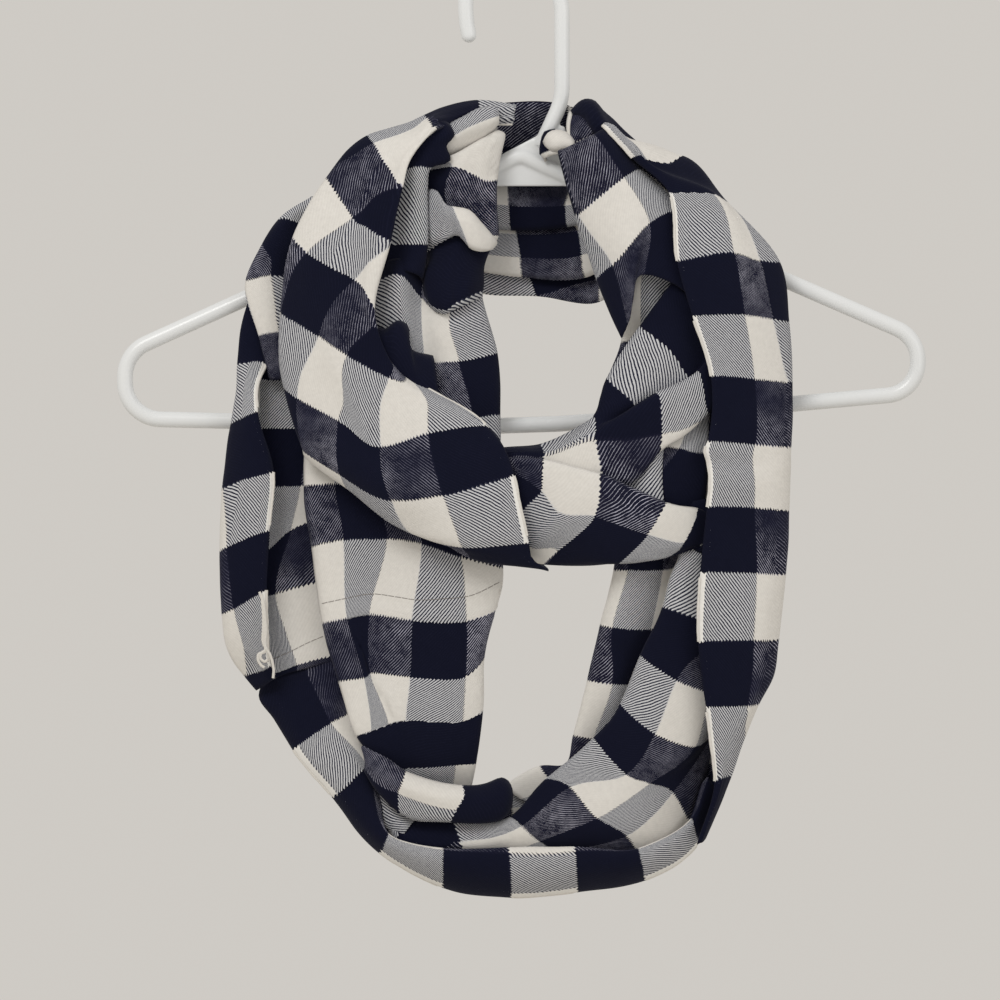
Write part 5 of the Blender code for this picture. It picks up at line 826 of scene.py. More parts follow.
# Small fold curled up at the foot of the lower left panel, its edge turned back over the rim.
# Lines across: tucked under, lower fold, first, upper fold, tucked back.
LEFT_CURL = on_warps((5.9, 5.7, 5.4, 5.1, 4.6), {
    12.15: ((-76, -428, 10), (-76.5, -429, 15), (-70, -430, 17),
            (-64, -431, 14), (-56, -431, 12)),
    12.35: ((-72.5, -440, 12), (-73, -440.5, 17), (-67, -440, 20),
            (-61, -439, 17), (-54, -438, 14)),
    12.65: ((-66.5, -452.5, 14), (-67, -453.5, 19), (-61.5, -449.5, 22),
            (-56, -446, 18), (-50, -443, 15)),
    12.9: ((-59, -458, 16), (-59.5, -459.5, 21), (-56, -454.5, 23),
           (-52, -450, 19), (-46, -447, 16)),
})

# Outer winding, right: a corner of it that shows in the hollow between the two pleats.
# Lines across: left, first, second, right.
RIGHT_LEAF = on_warps((1.9, 1.7, 1.4, 1.1), {
    2.1: ((56, -284, 30), (60, -284, 32), (68, -288, 33.5), (77, -291, 32)),
    2.4: ((57, -273, 30), (61, -272, 32.5), (68, -274, 34), (75.5, -277, 32)),
    2.7: ((64.5, -262, 31), (67, -261, 32.5), (71, -262, 34), (75.5, -264, 32)),
    2.9: ((72, -256.5, 31), (73, -256, 32), (74.5, -256.5, 32.5), (76, -257.5, 31)),
})

# ---------------------------------------------------------------- list of the stretches

PLAIN, EDGED = False, True       # whether the woven edge shows
EXTRA, NODE = False, True        # whether it stands for the node that has its name

# name: (sections, woven edge, node, what it rests on)
STRETCHES = {
    "back_band": (BACK_BAND, PLAIN, NODE, "hanger"),
    "left_shoulder": (LEFT_SHOULDER, PLAIN, NODE, "hanger"),
    "left_outer": (LEFT_OUTER, EDGED, NODE, "left_shoulder"),
    "left_gather": (LEFT_GATHER, PLAIN, NODE, "hanger"),
    "left_panel": (LEFT_PANEL, PLAIN, NODE, "left_outer"),
    "left_roll": (LEFT_ROLL, PLAIN, NODE, "left_panel"),
    "bottom_rim": (BOTTOM_RIM, EDGED, NODE, "left_outer"),
    "bottom_back": (BOTTOM_BACK, PLAIN, NODE, "bottom_rim"),
    "trough": (TROUGH, PLAIN, NODE, "bottom_rim"),
    "right_fall": (RIGHT_FALL, PLAIN, NODE, "trough"),
    "right_outer": (RIGHT_OUTER, EDGED, NODE, "hanger"),
    "right_fill": (RIGHT_FILL, PLAIN, NODE, "right_inner"),
    "right_inner": (RIGHT_INNER, PLAIN, NODE, "hanger"),
    "right_turn": (RIGHT_TURN, EDGED, NODE, "right_inner"),
    "right_slip": (RIGHT_SLIP, PLAIN, NODE, "right_turn"),
    "right_pleat": (RIGHT_PLEAT, PLAIN, NODE, "right_turn"),
    "left_inner": (LEFT_INNER, EDGED, NODE, "left_gather"),
    "left_neck": (LEFT_NECK, PLAIN, EXTRA, "hanger"),
    "left_shade": (LEFT_SHADE, PLAIN, EXTRA, "left_gather"),
    "left_tongue": (LEFT_TONGUE, PLAIN, EXTRA, "left_neck"),
    "left_pleat": (LEFT_PLEAT, PLAIN, EXTRA, "hanger"),
    "right_crest": (RIGHT_CREST, PLAIN, EXTRA, "hanger"),
    "right_shade": (RIGHT_SHADE, PLAIN, EXTRA, "right_inner"),
    "right_strip": (RIGHT_STRIP, PLAIN, EXTRA, "right_shade"),
    "right_roll": (RIGHT_ROLL, PLAIN, EXTRA, "right_inner"),
    "right_roll_lining": (RIGHT_ROLL_LINING, PLAIN, EXTRA, "right_roll"),
    "left_knot": (LEFT_KNOT, PLAIN, EXTRA, "left_gather"),
    "right_pocket": (RIGHT_POCKET, PLAIN, EXTRA, "right_outer"),
    "right_leaf": (RIGHT_LEAF, PLAIN, EXTRA, "right_slip"),
    "left_curl": (LEFT_CURL, PLAIN, EXTRA, "left_outer"),
}

# Soft creases: warp and weft where each starts and ends, its half width and its height.
CREASES = {
    "left_panel": ((2.6, 8.93, 6.8, 8.93, 1.6, 0.9), (2.6, 9.07, 6.8, 9.07, 1.6, -0.8),
                   (2.9, 9.05, 3.95, 10.0, 1.9, -1.5), (3.95, 10.0, 4.25, 10.9, 1.9, -1.6),
                   (3.2, 9.05, 4.2, 10.0, 2.4, 1.3), (4.2, 10.0, 4.5, 10.9, 2.4, 1.4),
                   (2.45, 7.1, 2.6, 8.8, 3.0, 1.3), (2.9, 7.2, 3.0, 8.7, 3.0, -1.2),
                   (5.0, 7.4, 5.3, 8.6, 4.5, 1.0)),
    "left_neck": ((0.70, 2.12, 0.52, 2.6, 1.1, -1.6), (0.52, 2.6, 0.22, 2.98, 1.1, -1.5),
                  (0.62, 2.12, 0.44, 2.6, 1.5, 1.0), (0.44, 2.6, 0.14, 2.98, 1.5, 0.9),
                  (1.45, 5.4, 1.5, 6.1, 2.2, -1.3)),
}

# Weft stripes that are navy in their whole width.
ALL_NAVY = {"left_panel": (11,), "right_pleat": (27,), "right_outer": (27,), "bottom_back": (11,),
            "left_roll": (13,)}

# Cream yarn of the woven edge: the line of the stretch that it follows, and its radius.
EDGE_YARN = {"left_outer": (0, 0.78), "bottom_rim": (0, 0.78), "right_outer": (0, 0.78),
             "left_inner": (-1, 0.95)}

# Seams and loose ends, in x and z.
PANEL_SEAM = ((-100.5, -338), (-89, -335.5), (-75, -333), (-62, -334.5), (-52, -336),
              (-38, -335.5), (-24, -334), (-7.5, -326.5))
FLAP_SEAM = ((-128.5, -368), (-125, -366.5), (-117, -363), (-108, -358.5), (-98.5, -354.5))
LOOSE_ENDS = (
    ((-132.6, -331.8), (-130.5, -337.5), (-129.8, -344), (-129.2, -352), (-129.8, -359),
     (-130, -363), (-133.1, -364), (-133.4, -367), (-131, -370.5), (-130, -371)),
    ((-131.4, -333), (-130.9, -340), (-130.2, -348), (-129.9, -356), (-129, -361.5),
     (-127.6, -363.5), (-126, -368), (-125.3, -372), (-125.6, -376.5)),
    ((-130.6, -341), (-130.6, -350), (-130.8, -358), (-129.6, -362), (-131.6, -363.4),
     (-132.2, -366), (-129.6, -368), (-128.4, -366.5)),
)
THREAD_TAIL = ((-7.5, -326.5), (-7.2, -329), (-8.3, -332), (-8, -334.5))

# ---------------------------------------------------------------- cloth shapes

def smooth(knots, values, at):
    """Read a smooth curve (Catmull-Rom, unevenly spaced) through the values at the knots."""
    step = np.diff(knots)
    shape = (-1,) + (1,) * (values.ndim - 1)
    width = step.reshape(shape)
    slope = np.diff(values, axis=0) / width
    tangent = np.empty_like(values)
    tangent[0] = slope[0]
    tangent[-1] = slope[-1]
    tangent[1:-1] = (slope[:-1] * width[1:] + slope[1:] * width[:-1]) / (width[:-1] + width[1:])
    i = np.clip(np.searchsorted(knots, at, side="right") - 1, 0, len(step) - 1)
    h = step[i].reshape(shape)
    t = (at - knots[i]).reshape(shape) / h
    start = (2 * t**3 - 3 * t**2 + 1) * values[i] + (t**3 - 2 * t**2 + t) * h * tangent[i]
    end = (3 * t**2 - 2 * t**3) * values[i + 1] + (t**3 - t**2) * h * tangent[i + 1]
    return start + end


def stations(lengths, pitch):
    """Running distance of the key lines and of the facet lines; every key line is kept."""
    knots = np.concatenate([[0.0], np.cumsum(np.maximum(lengths, 1.0))])
    at = []
    for k, length in enumerate(lengths):
        count = max(1, int(round(length / pitch)))
        at.extend(knots[k] + (knots[k + 1] - knots[k]) * j / count for j in range(count))
    at.append(knots[-1])
    return knots, np.array(at)


def loft(sections):
    """Grid of points over a table of sections, and the checks counted at each point."""
    rows = [sections[weft] for weft in sorted(sections)]
    points = np.array([[(x, -depth, z, warp) for warp, x, z, depth in row] for row in rows], float)
    along = np.linalg.norm(np.diff(points[..., :3], axis=0), axis=2).mean(axis=1)
    across = np.linalg.norm(np.diff(points[..., :3], axis=1), axis=2).mean(axis=0)
    row_knots, row_at = stations(along, FACET_ALONG)
    key_knots, key_at = stations(across, FACET_ACROSS)
    grid = smooth(row_knots, points, row_at)
    grid = np.swapaxes(smooth(key_knots, np.swapaxes(grid, 0, 1), key_at), 0, 1)
    weft = np.interp(row_at, row_knots, sorted(sections))
    warp_rows = smooth(row_knots, points[..., 3], row_at)
    warp = np.array([np.interp(key_at, key_knots, row) for row in warp_rows])
    checks = np.stack([warp, np.repeat(weft[:, None], grid.shape[1], axis=1)], axis=2)
    return grid[..., :3], checks


def normals(grid):
    """Unit normals of a grid, on the side that faces the front for an unfolded stretch."""
    along = np.gradient(grid, axis=0)
    across = np.gradient(grid, axis=1)
    out = np.cross(along, across)
    out /= np.linalg.norm(out, axis=2, keepdims=True) + 1e-9
    if out[..., 1].mean() > 0:
        out = -out
    return out


def press_creases(grid, checks, creases):
    """Push soft troughs (negative height) and ridges into the cloth, along lines on its checks."""
    place = checks * CHECK_SIZE
    push = np.zeros(grid.shape[:2])
    for warp_a, weft_a, warp_b, weft_b, width, height in creases:
        a = np.array((warp_a, weft_a)) * CHECK_SIZE
        run = np.array((warp_b, weft_b)) * CHECK_SIZE - a
        length = np.linalg.norm(run)
        share = np.clip(((place - a) @ run) / length**2, 0, 1)
        gap = np.linalg.norm(place - a - share[..., None] * run, axis=2)
        taper = np.sin(np.pi * (0.08 + 0.84 * share))      # shallow, but not lost, at both ends
        push += height * taper * np.exp(-(gap / width) ** 2)
    return grid + normals(grid) * push[..., None]


def ripple(grid, seed):
    """The slight unevenness of cloth that has hung for a while."""
    push = np.zeros(grid.shape[:2])
    for i in range(grid.shape[0]):
        for j in range(grid.shape[1]):
            x, y, z = grid[i, j]
            wide = Vector((x / WIDE_WAVE + seed, y / WIDE_WAVE, z / WIDE_DROP))
            fine = Vector((x / FINE_WAVE, y / FINE_WAVE + seed, z / FINE_DROP))
            push[i, j] = noise.noise(wide)
            push[i, j] += FINE_SHARE * noise.noise(fine)
    return grid + normals(grid) * (push * RIPPLE_HEIGHT)[..., None]


def select_only(*chosen):
    """Select these pieces alone, with the first as the active one."""
    bpy.ops.object.select_all(action="DESELECT")
    for piece in chosen:
        piece.select_set(True)
    bpy.context.view_layer.objects.active = chosen[0]


def apply_modifiers(piece):
    """Turn a piece's modifiers into its mesh."""
    select_only(piece)
    for modifier in list(piece.modifiers):
        bpy.ops.object.modifier_apply(modifier=modifier.name)
    piece.select_set(False)


def cloth_mesh(name, grid, checks, all_navy=()):
    """A thin closed shell on a grid, with the checks as its UV map.

    On the weft stripes named in all_navy the cloth is navy in its whole width."""
    rows, columns = grid.shape[:2]
    faces = []
    for i in range(rows - 1):
        for j in range(columns - 1):
            a = i * columns + j
            faces.append((a, a + 1, a + columns + 1, a + columns))
    mesh = bpy.data.meshes.new(name)
    mesh.from_pydata((grid.reshape(-1, 3) * MM).tolist(), [], faces)
    layer = mesh.uv_layers.new(name="checks")
    flat = checks.reshape(-1, 2)
    corner = np.array([v for face in faces for v in face])
    counted = flat[corner].reshape(-1, 4, 2)
    stripe = np.floor(counted[:, :, 1].mean(axis=1))
    for number in all_navy:
        here = stripe == number
        share = (counted[here, :, 0] - flat[:, 0].min()) / np.ptp(flat[:, 0])
        counted[here, :, 0] = ALL_NAVY_FROM + ALL_NAVY_SPAN * share
    layer.data.foreach_set("uv", counted.ravel())
    mesh.polygons.foreach_set("use_smooth", [True] * len(faces))
    piece = bpy.data.objects.new(name, mesh)
    bpy.context.scene.collection.objects.link(piece)
    wall = piece.modifiers.new("wall", "SOLIDIFY")
    wall.thickness = CLOTH_THICKNESS * MM
    wall.offset = 0.0
    wall.use_even_offset = False
    wall.use_quality_normals = True
    apply_modifiers(piece)
    return piece


# ---------------------------------------------------------------- hanger shapes

def moulded_rod(name, start, heading, radius, moves, sides=ROD_SIDES):
    """A round rod drawn out of a circle, in the x, z plane.

    Its moves are straight runs (length) and bends (radius, degrees).  Angles turn from +X towards
    +Z, so a positive bend goes to the left of the heading."""
    bpy.ops.object.select_all(action="DESELECT")
    bpy.ops.mesh.primitive_circle_add(
        vertices=sides, radius=radius * MM, fill_type="NOTHING",
        location=(start[0] * MM, 0.0, start[1] * MM),
        rotation=(0.0, math.pi / 2 - math.radians(heading), 0.0))
    rod = bpy.context.object
    rod.name = rod.data.name = name
    bpy.ops.object.transform_apply(location=True, rotation=True, scale=True)
    bpy.ops.object.mode_set(mode="EDIT")
    bpy.ops.mesh.select_all(action="SELECT")
    place = Vector((start[0] * MM, 0.0, start[1] * MM))
    angle = math.radians(heading)
    for move in moves:
        ahead = Vector((math.cos(angle), 0.0, math.sin(angle)))
        if len(move) == 1:
            reach = ahead * move[0] * MM
            bpy.ops.mesh.extrude_region_move(TRANSFORM_OT_translate={"value": reach})
            place = place + reach
            continue
        bend, degrees = move
        side = 1.0 if degrees > 0 else -1.0
        aside = Vector((-math.sin(angle), 0.0, math.cos(angle))) * side
        centre = place + aside * bend * MM
        turn = math.radians(abs(degrees))
        bpy.ops.mesh.spin(steps=max(3, int(abs(degrees) / BEND_STEP)), angle=turn, center=centre,
                          axis=(0.0, side, 0.0))
        angle += side * turn
        place = centre - Vector((-math.sin(angle), 0.0, math.cos(angle))) * side * bend * MM
    bpy.ops.mesh.select_all(action="SELECT")
    bpy.ops.mesh.remove_doubles(threshold=SEAM_CLOSED * MM)
    bpy.ops.mesh.fill_holes(sides=sides + 1)
    bpy.ops.mesh.select_all(action="SELECT")
    bpy.ops.mesh.normals_make_consistent(inside=False)
    bpy.ops.object.mode_set(mode="OBJECT")
    return rod


def route(corners, radii):
    """Heading and moves of a rod along straight lines between corners, each corner rounded."""
    steps = [Vector(b) - Vector(a) for a, b in zip(corners, corners[1:])]
    headings = [math.degrees(math.atan2(step.y, step.x)) for step in steps]
    turns = [(after - before + 180) % 360 - 180 for before, after in zip(headings, headings[1:])]
    rounded = [radius * math.tan(math.radians(abs(turn)) / 2) for radius, turn in zip(radii, turns)]
    trims = [0.0] + rounded + [0.0]
    moves = []
    for k, step in enumerate(steps):
        moves.append((step.length - trims[k] - trims[k + 1],))
        if k < len(turns):
            moves.append((radii[k], turns[k]))
    return headings[0], moves


def hanger_web():
    """The flat gusset between the arms: a block cut to its outline, with a rounded rim."""
    bpy.ops.object.select_all(action="DESELECT")
    centre = ((WEB_LEFT + WEB_RIGHT) / 2 * MM, 0.0, (WEB_LOW + WEB_HIGH) / 2 * MM)
    size = ((WEB_RIGHT - WEB_LEFT) * MM, WEB_THICKNESS * MM, (WEB_HIGH - WEB_LOW) * MM)
    bpy.ops.mesh.primitive_cube_add(size=1.0, location=centre, scale=size)
    web = bpy.context.object
    bpy.ops.object.transform_apply(location=True, rotation=True, scale=True)
    bpy.ops.object.mode_set(mode="EDIT")
    for (ax, az), (bx, bz) in WEB_CUTS:
        bpy.ops.mesh.select_all(action="SELECT")
        outwards = Vector((az - bz, 0.0, bx - ax)).normalized()
        bpy.ops.mesh.bisect(plane_co=(ax * MM, 0.0, az * MM), plane_no=outwards, use_fill=True,
                            clear_outer=True)
    bpy.ops.mesh.select_all(action="SELECT")
    bpy.ops.mesh.bevel(offset=WEB_RIM * MM, segments=2, affect="EDGES")
    bpy.ops.object.mode_set(mode="OBJECT")
    return web


def moulded_in_one(parts, name):
    """Weld overlapping parts into a single moulding with soft inner corners."""
    select_only(*parts)
    bpy.ops.object.join()
    whole = bpy.context.object
    whole.name = whole.data.name = name
    skin = whole.modifiers.new("skin", "REMESH")
    skin.mode = "VOXEL"
    skin.voxel_size = MOULD_GRAIN * MM
    ease = whole.modifiers.new("ease", "SMOOTH")
    ease.factor = 0.5
    ease.iterations = 7
    apply_modifiers(whole)
    select_only(whole)
    bpy.ops.object.shade_smooth()
    return whole


# ---------------------------------------------------------------- yarn and stitches

def yarn(name, runs, radius):
    """Thin yarn laid along runs of points (x, y, z), as one mesh."""
    line = bpy.data.curves.new(name, "CURVE")
    line.dimensions = "3D"
    line.bevel_depth = radius * MM
    line.bevel_resolution = 1
    line.use_fill_caps = True
    for run in runs:
        spline = line.splines.new("POLY")
        spline.points.add(len(run) - 1)
        for point, (x, y, z) in zip(spline.points, run):
            point.co = (x * MM, y * MM, z * MM, 1.0)
    piece = bpy.data.objects.new(name, line)
    bpy.context.scene.collection.objects.link(piece)
    select_only(piece)
    bpy.ops.object.convert(target="MESH")
    piece = bpy.context.object
    piece.name = piece.data.name = name
    bpy.ops.object.shade_smooth()
    return piece


def along(corners, pitch):
    """Points at an even pitch on a smooth line through the corners."""
    corners = np.array(corners, float)
    lengths = np.linalg.norm(np.diff(corners, axis=0), axis=1)
    knots = np.concatenate([[0.0], np.cumsum(lengths)])
    return smooth(knots, corners, np.arange(0.0, knots[-1], pitch))


def laid_on(piece, spots, lift):
    """The spots (x, z) dropped on the front of a piece, lifted off it by a little."""
    backwards = Vector((0.0, 1.0, 0.0))
    placed = []
    for x, z in spots:
        hit, place, _, _ = piece.ray_cast(Vector((x * MM, IN_FRONT, z * MM)), backwards)
        if hit:
            placed.append((x, place.y / MM - lift, z))
    return placed


def stitches(name, piece, corners):
    """A row of machine stitches on the front of a piece."""
    spots = along(corners, SEAM_PITCH)
    step = round((STITCH_LENGTH + STITCH_GAP) / SEAM_PITCH)
    sewn = round(STITCH_LENGTH / SEAM_PITCH)
    runs = [laid_on(piece, spots[k:k + sewn + 1], STITCH_LIFT)
            for k in range(0, len(spots) - sewn, step)]
    return yarn(name, [run for run in runs if len(run) > 2], STITCH_RADIUS)


def woven_edge(name, edge, checks, radius):
    """The thick edge of the cloth, where the cream weft turns round."""
    runs, run = [], []
    for place, (_, weft) in zip(edge, checks):
        if int(math.floor(weft)) % 2 == 0:
            waver = noise.noise(Vector(place) / EDGE_WAVE) * EDGE_WAVER
            x, y, z = place
            run.append((x + waver, y - EDGE_PROUD, z + waver * EDGE_WAVER_DOWN))
        elif run:
            runs.append(run)
            run = []
    if run:
        runs.append(run)
    return yarn(name, [r for r in runs if len(r) > 1], radius)


# ---------------------------------------------------------------- finishes

class Recipe:
    """Short hand for wiring a material."""

    def __init__(self, name):
        self.material = bpy.data.materials.new(name)
        self.material.use_nodes = True
        self.tree = self.material.node_tree
        self.shader = self.tree.nodes["Principled BSDF"]

    def node(self, kind, **settings):
        made = self.tree.nodes.new(kind)
        for key, value in settings.items():
            setattr(made, key, value)
        return made

    def link(self, source, target):
        self.tree.links.new(source, target)

    def feed(self, socket, value):
        """Put a number, a colour or another node's output into a socket."""
        if isinstance(value, (int, float)):
            socket.default_value = value
        elif isinstance(value, tuple):
            socket.default_value = (*value, 1.0)
        else:
            self.link(value, socket)

    def math(self, operation, a, b=0.0, c=0.0):
        made = self.node("ShaderNodeMath", operation=operation)
        self.feed(made.inputs[0], a)
        self.feed(made.inputs[1], b)
        self.feed(made.inputs[2], c)
        return made.outputs[0]

    def mix(self, share, a, b):
        """The colour a where the share is 0 and b where it is 1."""
        made = self.node("ShaderNodeMix", data_type="RGBA")
        self.feed(made.inputs["Factor"], share)
        self.feed(made.inputs[6], a)
        self.feed(made.inputs[7], b)
        return made.outputs[2]

    def place(self):
        """Where a point is on the piece, in metres."""
        made = self.node("ShaderNodeMapping")
        self.link(self.node("ShaderNodeTexCoord").outputs["Object"], made.inputs["Vector"])
        return made.outputs["Vector"]

    def spots(self, place, grain):
        """Soft spots from 0 to 1."""
        scale, detail, roughness = grain[:3]
        made = self.node("ShaderNodeTexNoise")
        self.link(place, made.inputs["Vector"])
        made.inputs["Scale"].default_value = scale
        made.inputs["Detail"].default_value = detail
        made.inputs["Roughness"].default_value = roughness
        return made.outputs["Fac"]

    def around_zero(self, value, amount):
        """A value from 0 to 1 moved to lie evenly around zero, times an amount."""
        return self.math("MULTIPLY", self.math("SUBTRACT", value, 0.5), amount)

    def flecks(self, place, grain):
        """Spots around zero, times the grain's amount."""
        return self.around_zero(self.spots(place, grain), grain[3])

    def bump(self, height, strength, distance):
        made = self.node("ShaderNodeBump")
        made.inputs["Strength"].default_value = strength
        made.inputs["Distance"].default_value = distance
        self.link(height, made.inputs["Height"])
        self.link(made.outputs["Normal"], self.shader.inputs["Normal"])


# Colours of the cotton: each stripe, its twill lines, and where navy and cream cross.
NAVY = (0.0036, 0.0046, 0.0160)
NAVY_LINE = (0.0056, 0.0068, 0.0205)
NAVY_UNDER_CREAM = (0.0085, 0.0092, 0.0250)
NAVY_ON_CREAM = (0.0200, 0.0225, 0.0460)
CREAM = (0.755, 0.735, 0.700)
CREAM_LINE = (0.732, 0.711, 0.676)
CREAM_BY_NAVY = (0.610, 0.620, 0.645)
PALE_LINE = (0.520, 0.520, 0.620)
FAINT_LINE = (0.060, 0.062, 0.100)
EDGE_WHITE = (0.860, 0.850, 0.825)

# Grains of the cotton: (scale, detail, roughness, amount).
DRIFT = (120.0, 2.0, 0.5, 0.05)        # the twill lines wander a little
STRAY = (900.0, 2.0, 0.5, 0.045)       # yarns stray over the edge of a stripe
FUZZ = (1300.0, 3.0, 0.7, 0.42)        # brushed fibres blur the twill lines
PATCHY = (260.0, 3.0, 0.6, 0.55)       # the pale lines break up,
CLOUDS = (75.0, 2.0, 0.5, 0.50)        # are fewer in some places,
BRIGHT = (24.0, 2.0, 0.5)              # and stand out more in some than in others,
BRIGHT_GAIN, BRIGHT_BASE = 3.4, -1.15  # with this contrast
NAP = (420.0, 4.0, 0.65)
NAP_SHADE, NAP_BASE = 0.22, 0.89       # the nap shades the colour from 0.89 to 1.11 of itself
NAP_RELIEF, LINE_RELIEF = 0.8, 0.5     # shares of the nap and the twill lines in the relief
TWILL_TOOTH = 0.040                    # the stripes' edges step with the twill lines
STRAY_AT_BORDER = 0.6                  # share of the straying at the woven edge
WIDE_LINE = 0.47                       # share of each twill line in its second colour
NARROW_LINE = 0.18                     # the same, for the pale lines on navy

# White moulded plastic: colours, then grains (scale, detail, roughness).
PLASTIC_SHADE = (0.78, 0.80, 0.815)
PLASTIC_WHITE = (0.83, 0.85, 0.868)
PLASTIC_CLOUD = (30.0, 3.0, 0.5)
PLASTIC_DULL = (160.0, 4.0, 0.5)
DULL_GAIN, DULL_BASE = 0.16, 0.16
PLASTIC_SKIN = (420.0, 3.0, 0.5)

# Cream yarn and sewing thread, the same way.
YARN_LIGHT, YARN_DARK = (0.84, 0.82, 0.78), (0.62, 0.59, 0.55)
YARN_FIBRES = (1500.0, 3.0, 0.6)
THREAD_LIGHT, THREAD_DARK = (0.34, 0.31, 0.28), (0.20, 0.19, 0.19)
THREAD_FIBRES = (900.0, 3.0, 0.6)
YARN_TWIST = (2600.0, 2.0, 0.5)


def checked_cotton(name, border=None):
    """Brushed cotton twill: navy and cream stripes both ways, with diagonal lines at crossings.

    The border is the warp line where the cream woven edge of the cloth ends."""
    r = Recipe(name)
    checks = r.node("ShaderNodeSeparateXYZ")
    r.link(r.node("ShaderNodeUVMap", uv_map="checks").outputs["UV"], checks.inputs[0])
    warp, weft = checks.outputs["X"], checks.outputs["Y"]
    here = r.place()

    diagonal = r.math("ADD", r.math("ADD", warp, weft), r.flecks(here, DRIFT))
    lines = r.math("FRACT", r.math("MULTIPLY", diagonal, TWILL_LINES))
    tooth = r.around_zero(lines, TWILL_TOOTH)
    stray = r.flecks(here, STRAY)

    # Stripes of one check each: the first of every two is cream and the second navy.
    warp_at = r.math("ADD", r.math("ADD", warp, tooth), stray)
    weft_at = r.math("ADD", r.math("SUBTRACT", weft, tooth), stray)
    warp_navy = r.math("GREATER_THAN", r.math("FLOORED_MODULO", warp_at, 2.0), 1.0)
    weft_navy = r.math("GREATER_THAN", r.math("FLOORED_MODULO", weft_at, 2.0), 1.0)
    if border is not None:
        strayed = r.math("ADD", warp, r.math("MULTIPLY", stray, STRAY_AT_BORDER))
        inside = r.math("GREATER_THAN", strayed, border)
        warp_navy = r.math("MAXIMUM", warp_navy, r.math("LESS_THAN", warp, NAVY_BY_BORDER))
        warp_navy = r.math("ADD", r.math("MULTIPLY", warp_navy, inside),
                           r.math("MULTIPLY", weft_navy, r.math("SUBTRACT", 1.0, inside)))

    # Colours on the cream and on the navy weft stripes.
    fuzz = r.flecks(here, FUZZ)
    line_wide = r.math("LESS_THAN", r.math("ADD", lines, fuzz), WIDE_LINE)
    worn = r.math("ADD", r.math("ADD", lines, r.flecks(here, CLOUDS)),
                  r.math("ADD", fuzz, r.flecks(here, PATCHY)))
    line_narrow = r.math("LESS_THAN", worn, NARROW_LINE)
    on_cream = r.mix(warp_navy, r.mix(line_wide, CREAM, CREAM_LINE),
                     r.mix(line_wide, CREAM_BY_NAVY, NAVY_ON_CREAM))
    bright = r.math("MULTIPLY_ADD", r.spots(here, BRIGHT), BRIGHT_GAIN, BRIGHT_BASE)
    bright = r.math("MAXIMUM", 0.0, r.math("MINIMUM", 1.0, bright))
    pale = r.mix(bright, FAINT_LINE, PALE_LINE)
    on_navy = r.mix(warp_navy, r.mix(line_narrow, NAVY_UNDER_CREAM, pale),
                    r.mix(line_narrow, NAVY, NAVY_LINE))
    if border is not None:
        on_cream = r.mix(inside, EDGE_WHITE, on_cream)
    color = r.mix(weft_navy, on_cream, on_navy)

    # The nap lightens and darkens the colour a little, and lifts the surface.
    nap = r.spots(here, NAP)
    soft = r.math("MULTIPLY_ADD", nap, NAP_SHADE, NAP_BASE)
    shade = r.node("ShaderNodeMix", data_type="RGBA", blend_type="MULTIPLY")
    shade.inputs["Factor"].default_value = 1.0
    r.link(color, shade.inputs[6])
    tone = r.node("ShaderNodeCombineColor")
    for channel in range(3):
        r.link(soft, tone.inputs[channel])
    r.link(tone.outputs[0], shade.inputs[7])
    r.link(shade.outputs[2], r.shader.inputs["Base Color"])
    r.shader.inputs["Roughness"].default_value = 0.94
    r.shader.inputs["Specular IOR Level"].default_value = 0.12
    r.shader.inputs["Sheen Weight"].default_value = 0.05
    r.shader.inputs["Sheen Roughness"].default_value = 0.55
    r.shader.inputs["Sheen Tint"].default_value = (0.80, 0.82, 1.0, 1.0)
    relief = r.math("MULTIPLY_ADD", nap, NAP_RELIEF, r.math("MULTIPLY", line_wide, LINE_RELIEF))
    r.bump(relief, strength=0.35, distance=0.0004)
    return r.material


def white_plastic(name):
    """White moulded plastic, softly glossy and slightly uneven."""
    r = Recipe(name)
    here = r.place()
    white = r.mix(r.spots(here, PLASTIC_CLOUD), PLASTIC_SHADE, PLASTIC_WHITE)
    r.link(white, r.shader.inputs["Base Color"])
    dull = r.math("MULTIPLY_ADD", r.spots(here, PLASTIC_DULL), DULL_GAIN, DULL_BASE)
    r.link(dull, r.shader.inputs["Roughness"])
    r.bump(r.spots(here, PLASTIC_SKIN), strength=0.06, distance=0.0002)
    return r.material


def plain_yarn(name, light, dark, fibres):
    """Matt yarn of one colour, with lighter and darker fibres."""
    r = Recipe(name)
    here = r.place()
    r.link(r.mix(r.spots(here, fibres), dark, light), r.shader.inputs["Base Color"])
    r.shader.inputs["Roughness"].default_value = 0.92
    r.shader.inputs["Specular IOR Level"].default_value = 0.15
    r.bump(r.spots(here, YARN_TWIST), strength=0.4, distance=0.0002)
    return r.material


cotton = checked_cotton("checked cotton")
cotton_edged = checked_cotton("checked cotton with its woven edge", EDGE_BORDER)
plastic = white_plastic("white plastic")
cream_yarn = plain_yarn("cream yarn", YARN_LIGHT, YARN_DARK, YARN_FIBRES)
sewing_thread = plain_yarn("sewing thread", THREAD_LIGHT, THREAD_DARK, THREAD_FIBRES)

# ---------------------------------------------------------------- the scarf

